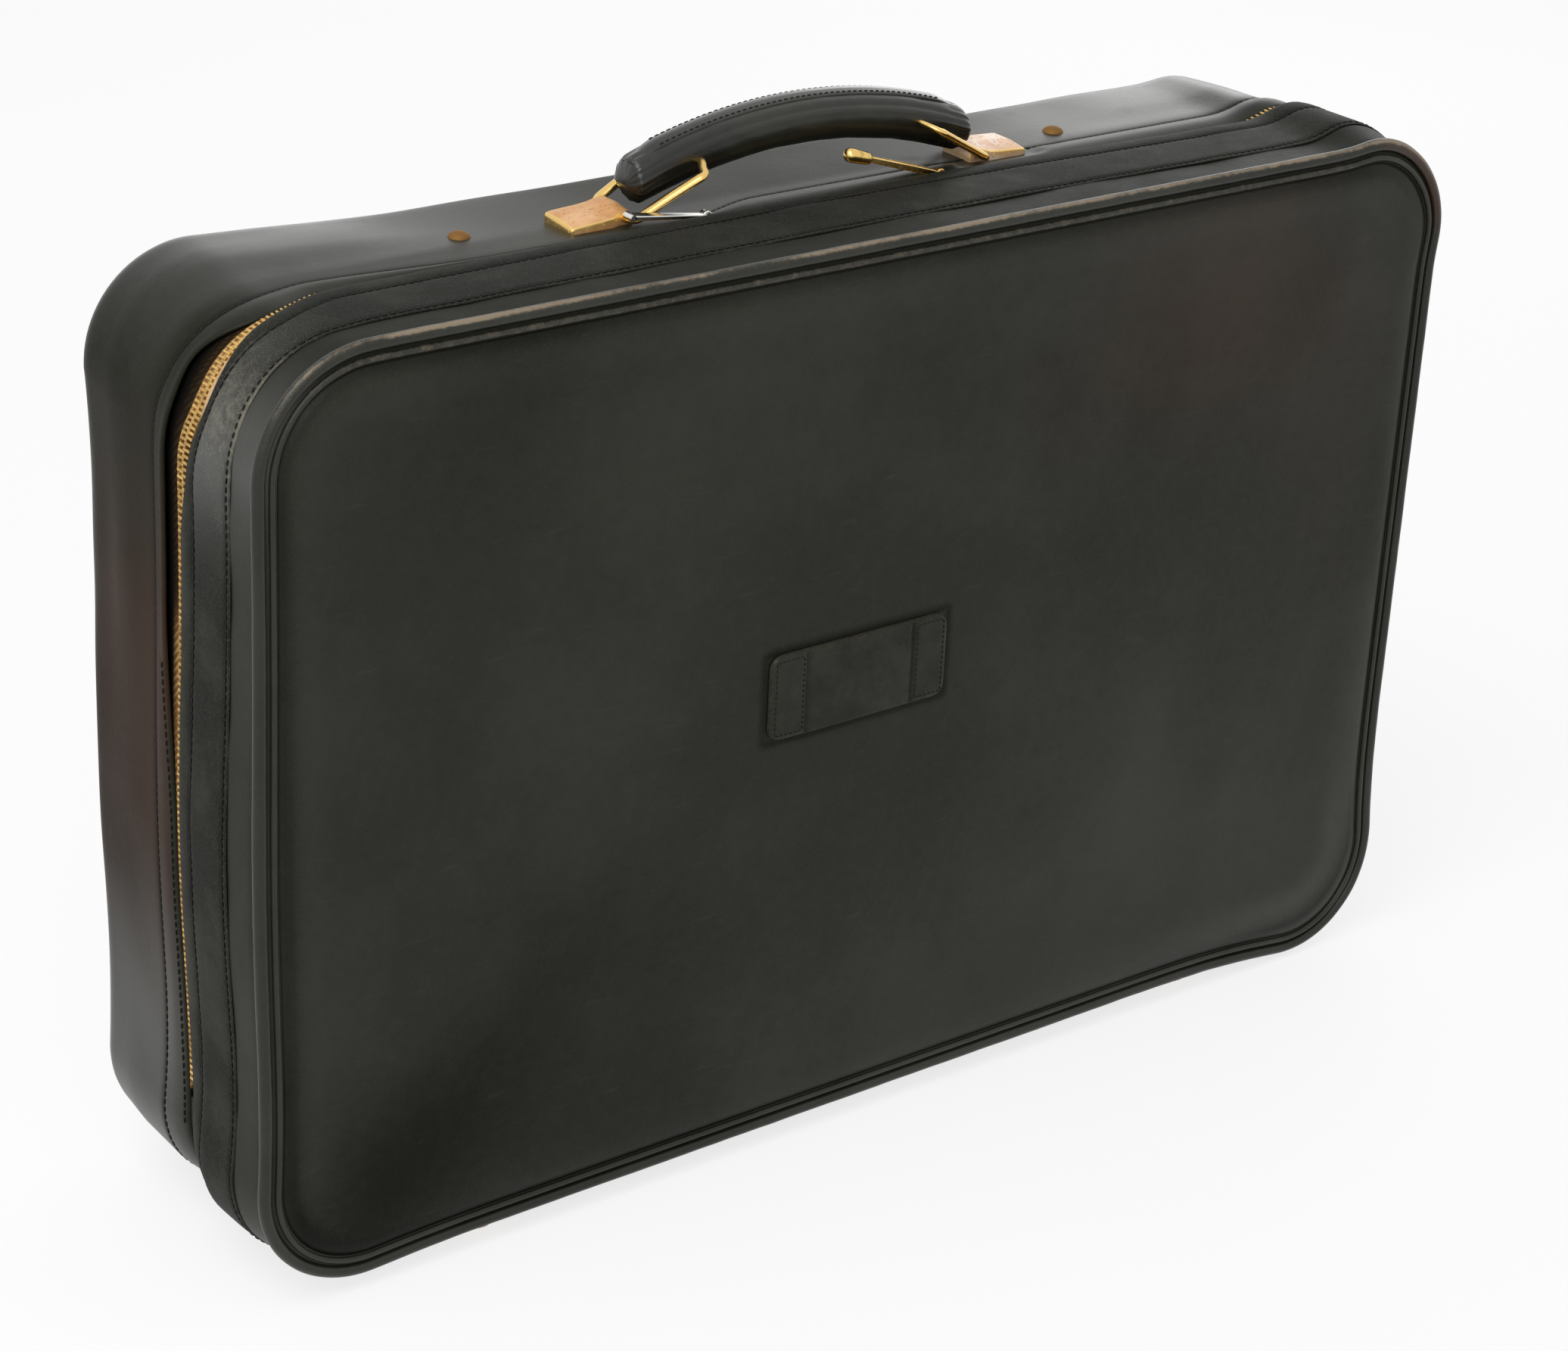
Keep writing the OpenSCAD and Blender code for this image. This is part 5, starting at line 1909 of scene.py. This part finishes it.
    def base(self, side: int) -> Shape:
        """A cast base, thick at its outer end, with a knuckle round the ring.

        Args:
            side: -1 for the left one, 1 for the right one.

        Returns:
            The shape.
        """
        hub = self.left_pivot if side < 0 else self.right_pivot
        profile = [(-4.0, 469.0, 0.6), (-3.6, 471.0, 0.2), (-2.2, 472.5, 0.0), (0.0, 473.0, 0.0),
                   (4.0, 472.4, 0.0), (8.0, 471.2, 0.0), (14.0, 470.6, 0.0), (22.0, 470.2, 0.0),
                   (28.0, 469.8, 0.0), (29.6, 469.5, 0.1), (30.5, 469.1, 0.5), (31.0, 468.4, 1.1)]
        foot, knuckle_end = 464.6, 6.0
        rows = []
        for out, top, tuck in profile:
            front = -(12.6 if out > knuckle_end else 11.0) + tuck
            rear = (12.2 if out > knuckle_end else 11.6) - tuck
            low = top - 1.6
            line = [(front, foot), (front, low - 1.2), (front + 0.3, low - 0.4),
                    (front + 1.1, low), (0.0, top), (rear - 1.1, top), (rear - 0.3, top - 0.4),
                    (rear, top - 1.2), (rear, foot)]
            rows.append([(hub.x + side * out * MM, hub.y + y * MM, z * MM) for y, z in line])
        shape = lattice(np.array(rows))
        if side < 0:
            shape.faces = [face[::-1] for face in shape.faces]
        edge = np.array([0.5, 0.75, 1.0, 0.6, 0.0, 0.6, 1.0, 0.75, 0.5])
        ends = np.array([0.6, 0.3, 0, 0, 0, 0, 0, 0, 0, 0.5, 1.0, 0.9])
        return shape.mark(wear=np.maximum(edge[None, :], ends[:, None]))

    def pull(self, side: int) -> Shape:
        """A zip pull with its eye on the slider's pin.

        Args:
            side: -1 for the left one, a flat blade, 1 for the right one with its knob.

        Returns:
            The shape.
        """
        pin = np.array(pivot("left_pull_hinge" if side < 0 else "right_pull_hinge"))
        rise = math.radians(self.pull_rise[side])
        ahead = np.array([-math.cos(rise), 0.0, math.sin(rise)])
        up = np.array([math.sin(rise), 0.0, math.cos(rise)])
        if side < 0:
            stations = [(1.2, 1.9, 0.9), (4.1, 2.3, 0.95), (12, 2.4, 1.0), (24, 2.9, 1.05),
                        (36, 3.3, 1.1), (41, 3.5, 1.2), (43.5, 3.5, 1.3)]
        else:
            stations = [(1.2, 1.9, 0.9), (4.0, 2.4, 1.1), (8, 3.0, 1.5), (20, 3.1, 1.7),
                        (34, 2.9, 1.6), (44, 2.4, 1.5), (48, 1.9, 1.4)]
        rows = []
        for run, half, thick in stations:
            cut = 0.35 * thick
            outline = [(-half, -thick + cut), (-half, thick - cut), (-half + cut, thick),
                       (0.0, thick * 1.15), (half - cut, thick), (half, thick - cut),
                       (half, -thick + cut), (half - cut, -thick), (-half + cut, -thick)]
            rows.append([pin + (ahead * run + up * v + np.array([0.0, y, 0.0])) * MM
                         for y, v in outline])
        parts = [lattice(np.array(rows))]
        turns = circle(24)
        eye = pin + 1.75 * MM * (np.cos(turns)[:, None] * ahead + np.sin(turns)[:, None] * up)
        parts.append(tube(eye, 0.75 * MM, 10, closed=True))
        if side < 0:
            roll = pin + ahead * 44.4 * MM
            line = roll + np.linspace(-3.5, 3.5, 7)[:, None] * np.array([[0.0, MM, 0.0]])
            parts.append(tube(line, 1.6 * MM, 14, facing=(0.0, 0.0, 1.0)))
        else:
            runs = np.array([46.0, 46.4, 47.4, 49, 52, 56, 59, 60.6, 61.6, 62.2, 62.4])
            radii = np.array([0.8, 2.0, 2.8, 3.2, 3.3, 3.5, 3.6, 3.3, 2.6, 1.5, 0.3]) * MM
            parts.append(tube(pin + runs[:, None] * MM * ahead, radii, 20))
        return Shape.joined(parts).mark(wear=0.15)

    def build(self) -> None:
        """Make the handle's pieces and the zip's pulls."""
        made = self.finishes
        for side, name in ((-1, "left"), (1, "right")):
            plate = "tan_plate" if side < 0 else "pale_plate"
            self.base(side).piece(name + "_base", made[plate], "case_body", "brass",
                                  [name + "_handle_base"], sharp=35)
            coat, slot = ("nickel", "steel") if side < 0 else ("brass", "brass")
            self.pull(side).piece(name + "_puller", made[coat], name + "_pull", slot,
                                  [name + "_pull"], sharp=40)
        self.ring(-1).piece("left_loop", made["brass"], "left_ring", "brass", ["left_ring"])
        self.ring(1).piece("right_loop", made["brass"], "right_ring", "brass", ["right_ring"])
        self.grip().piece("grip_leather", made["grip"], "grip", "grip_leather", ["grip"])
        self.strip().piece("top_strip", made["grip"], "grip", "grip_leather", ["grip_strip"])
        self.strip_stitches().piece("strip_stitches", made["thread"], "grip", "grip_leather")


# Feet, hinge strip and inside


@dataclass
class Feet:
    """Four domed feet, each on its nail."""

    finishes: Finishes
    radius: float = 10 * MM

    def build(self) -> None:
        """Make the feet of the lid and of the body."""
        for node, body, height in (("lid_feet", "lid", 14.5), ("body_feet", "case_body", 17.0)):
            low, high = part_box(node)
            y = (low.y + high.y) / 2
            profile = [(0.1, 0.0), (1.6, 0.0), (3.4, 0.35), (5.4, 1.2), (7.4, 2.7), (8.9, 4.7),
                       (9.7, 6.9), (9.95, 8.6), (9.6, 9.3), (9.2, 9.6), (9.2, height),
                       (0.1, height)]
            profile = [(r * MM, h * MM) for r, h in profile]
            spots = [(x, y, low.z) for x in (low.x + self.radius, high.x - self.radius)]
            shape = Shape.joined(turned(profile, spot) for spot in spots).mark(wear=0.35)
            shape.piece(node + "_domes", self.finishes["copper"], body, "brass", [node], sharp=50)


@dataclass
class HingeStrip:
    """The leather strip that joins lid and body along the bottom."""

    rim: Rim
    finishes: Finishes
    end_z: float = 76.7 * MM
    outer_step: float = 8.7 * MM
    inner_step: float = 9.5 * MM
    fold: float = 1.2 * MM
    reach: float = 18 * MM
    half_bend: float = 3 * MM

    def build(self) -> None:
        """Make the strip, which is attached to neither body."""
        end = self.rim.climb(self.end_z)
        travel = np.linspace(-end, end, 300) % self.rim.length
        depth = np.linspace(-self.reach, self.reach, 25)
        fold = self.fold * hill(depth, 0, 3.5 * MM)
        steps = np.concatenate([self.outer_step + fold, self.inner_step + fold[::-1]])
        shape = self.rim.sweep(travel, steps, np.concatenate([depth, depth[::-1]]), closed=False)
        made = shape.piece("hinge_leather", self.finishes["case"], None, "case_leather",
                           ["hinge_strip"])
        low, split = self.rim.low, self.rim.split_y
        split + self.half_bend
        split - self.half_bend
        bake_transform(made)


@dataclass
class Inside:
    """Finishes of the pieces that stay as they are packed."""

    finishes: Finishes
    coats: dict[str, str] = field(default_factory=lambda: {
        "lid_rails": "wood", "lid_corners": "wood", "front_board": "wood",
        "front_padding": "felt", "body_rails": "wood", "body_corners": "wood",
        "back_board": "wood", "back_panel": "case", "lid_lining": "lining",
        "body_lining": "lining", "lid_pocket": "lining", "packing_straps": "strap",
        "strap_buckles": "brass", "backing_plate": "nickel", "base_rivets": "brass",
        "lid_zip_stops": "old_brass", "body_zip_stops": "old_brass",
        "left_slider": "nickel", "right_slider": "copper", "grip_core": "wood",
    })

    def build(self) -> None:
        """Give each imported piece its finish."""
        for node, coat in self.coats.items():
            piece = FRAME["nodes"][node]
            piece.data.materials.clear()
            piece.data.materials.append(self.finishes[coat])
            log.info("%s: %s", node, coat)


# Studio


@dataclass(frozen=True)
class Studio:
    """The photograph's camera, a pale floor and soft lamps."""

    lens: float = 83.86
    sensor: float = 36.0
    eye: Triple = (-1.0313, -1.3333, 0.9927)
    ahead: Triple = (0.55469, 0.71825, -0.42004)
    up: Triple = (0.21790, 0.36181, 0.90643)
    target: Triple = (0.0, 0.0, 0.25)
    paleness: float = 0.76
    ambient: float = 0.68
    floor_half: float = 6.0
    not_light: tuple[str, str] = ("Is Glossy Ray", "Is Transmission Ray")

    def camera(self) -> None:
        """Stand the camera where the photograph was taken."""
        data = bpy.data.cameras.new("photo_camera")
        data.lens = self.lens
        data.sensor_width = self.sensor
        ahead = Vector(self.ahead).normalized()
        right = ahead.cross(Vector(self.up)).normalized()
        up = right.cross(ahead)
        camera = bpy.data.objects.new("photo_camera", data)
        camera.matrix_world = Matrix((
            (right.x, up.x, -ahead.x, self.eye[0]), (right.y, up.y, -ahead.y, self.eye[1]),
            (right.z, up.z, -ahead.z, self.eye[2]), (0, 0, 0, 1)))
        bpy.context.scene.collection.objects.link(camera)
        bpy.context.scene.camera = camera

    def lamp(self, name: str, place: Triple, size: float, power: float) -> None:
        """Hang a soft square lamp that faces the case.

        Args:
            name: its name.
            place: where it hangs.
            size: the length of its sides.
            power: its power in watts.
        """
        data = bpy.data.lights.new(name, "AREA")
        data.energy = power
        data.size = size
        lamp = bpy.data.objects.new(name, data)
        lamp.location = place
        aim = Vector(self.target) - Vector(place)
        lamp.rotation_euler = aim.to_track_quat("-Z", "Y").to_euler()
        bpy.context.scene.collection.objects.link(lamp)

    def world(self) -> None:
        """A pale surround, white where the camera or a shiny surface sees it."""
        world = bpy.data.worlds.new("studio")
        bpy.context.scene.world = world
        world.use_nodes = True
        tree = world.node_tree
        background = tree.nodes["Background"]
        path = tree.nodes.new("ShaderNodeLightPath")
        blend = tree.nodes.new("ShaderNodeMix")
        blend.data_type = "RGBA"
        blend.inputs[6].default_value = (self.ambient, self.ambient, self.ambient, 1.0)
        blend.inputs[7].default_value = (1.0, 1.0, 1.0, 1.0)
        seen = path.outputs["Is Camera Ray"]
        for other in self.not_light:
            either = tree.nodes.new("ShaderNodeMath")
            either.operation = "MAXIMUM"
            tree.links.new(seen, either.inputs[0])
            tree.links.new(path.outputs[other], either.inputs[1])
            seen = either.outputs[0]
        tree.links.new(seen, blend.inputs[0])
        tree.links.new(blend.outputs[2], background.inputs["Color"])
        background.inputs["Strength"].default_value = 1.0

    def floor(self) -> None:
        """A wide pale floor at the height of the feet."""
        data, half = bpy.data.meshes.new("floor"), self.floor_half
        data.from_pydata([(-half, -half, 0), (half, -half, 0), (half, half, 0), (-half, half, 0)],
                         [], [(0, 1, 2, 3)])
        g = Graph("floor_white")
        surface = g.node("BsdfPrincipled", {}, {"Base Color": (0.93, 0.93, 0.93, 1.0),
                                                "Roughness": 0.9})
        glow = g.node("Emission", {}, {"Color": (1.0, 1.0, 1.0, 1.0), "Strength": 1.0})
        seen = g.node("LightPath", output="Is Camera Ray")
        for other in self.not_light:
            seen = seen.most(g.node("LightPath", output=other))
        g.node_output(g.node("MixShader", {}, {0: seen * self.paleness, 1: surface, 2: glow}))
        data.materials.append(g.material)
        floor = bpy.data.objects.new("floor", data)
        bpy.context.scene.collection.objects.link(floor)

    def build(self) -> None:
        """Set up the whole studio."""
        self.camera()
        self.world()
        self.floor()
        self.lamp("key", (-1.4, -0.6, 2.2), size=1.6, power=30.0)
        self.lamp("back", (1.8, 1.5, 1.08), size=1.0, power=4.5)
        self.lamp("front", (-1.6, -2.6, 1.6), size=1.8, power=12.0)
        bpy.context.scene.view_settings.view_transform = "Standard"


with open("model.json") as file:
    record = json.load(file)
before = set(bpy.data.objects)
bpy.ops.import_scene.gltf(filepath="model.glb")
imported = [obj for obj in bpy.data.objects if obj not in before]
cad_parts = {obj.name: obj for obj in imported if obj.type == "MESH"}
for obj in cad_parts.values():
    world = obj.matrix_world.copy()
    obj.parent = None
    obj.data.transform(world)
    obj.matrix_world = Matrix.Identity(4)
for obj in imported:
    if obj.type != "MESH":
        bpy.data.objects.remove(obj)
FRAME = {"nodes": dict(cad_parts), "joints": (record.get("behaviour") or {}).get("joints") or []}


def main() -> None:
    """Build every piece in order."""
    logging.basicConfig(level=logging.INFO, format="%(message)s")
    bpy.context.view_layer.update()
    low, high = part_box("outer_piping")
    rim = Rim(high.x, low.z, high.z, split_y=pivot("lid_hinge")[1])
    finishes = Finishes()
    Studio().build()
    Inside(finishes).build()
    BodyShell(rim, finishes).build()
    LidShell(rim, finishes).build()
    Zip(rim, finishes).build()
    Handle(finishes).build()
    Feet(finishes).build()
    HingeStrip(rim, finishes).build()


if __name__ == "__main__":
    main()
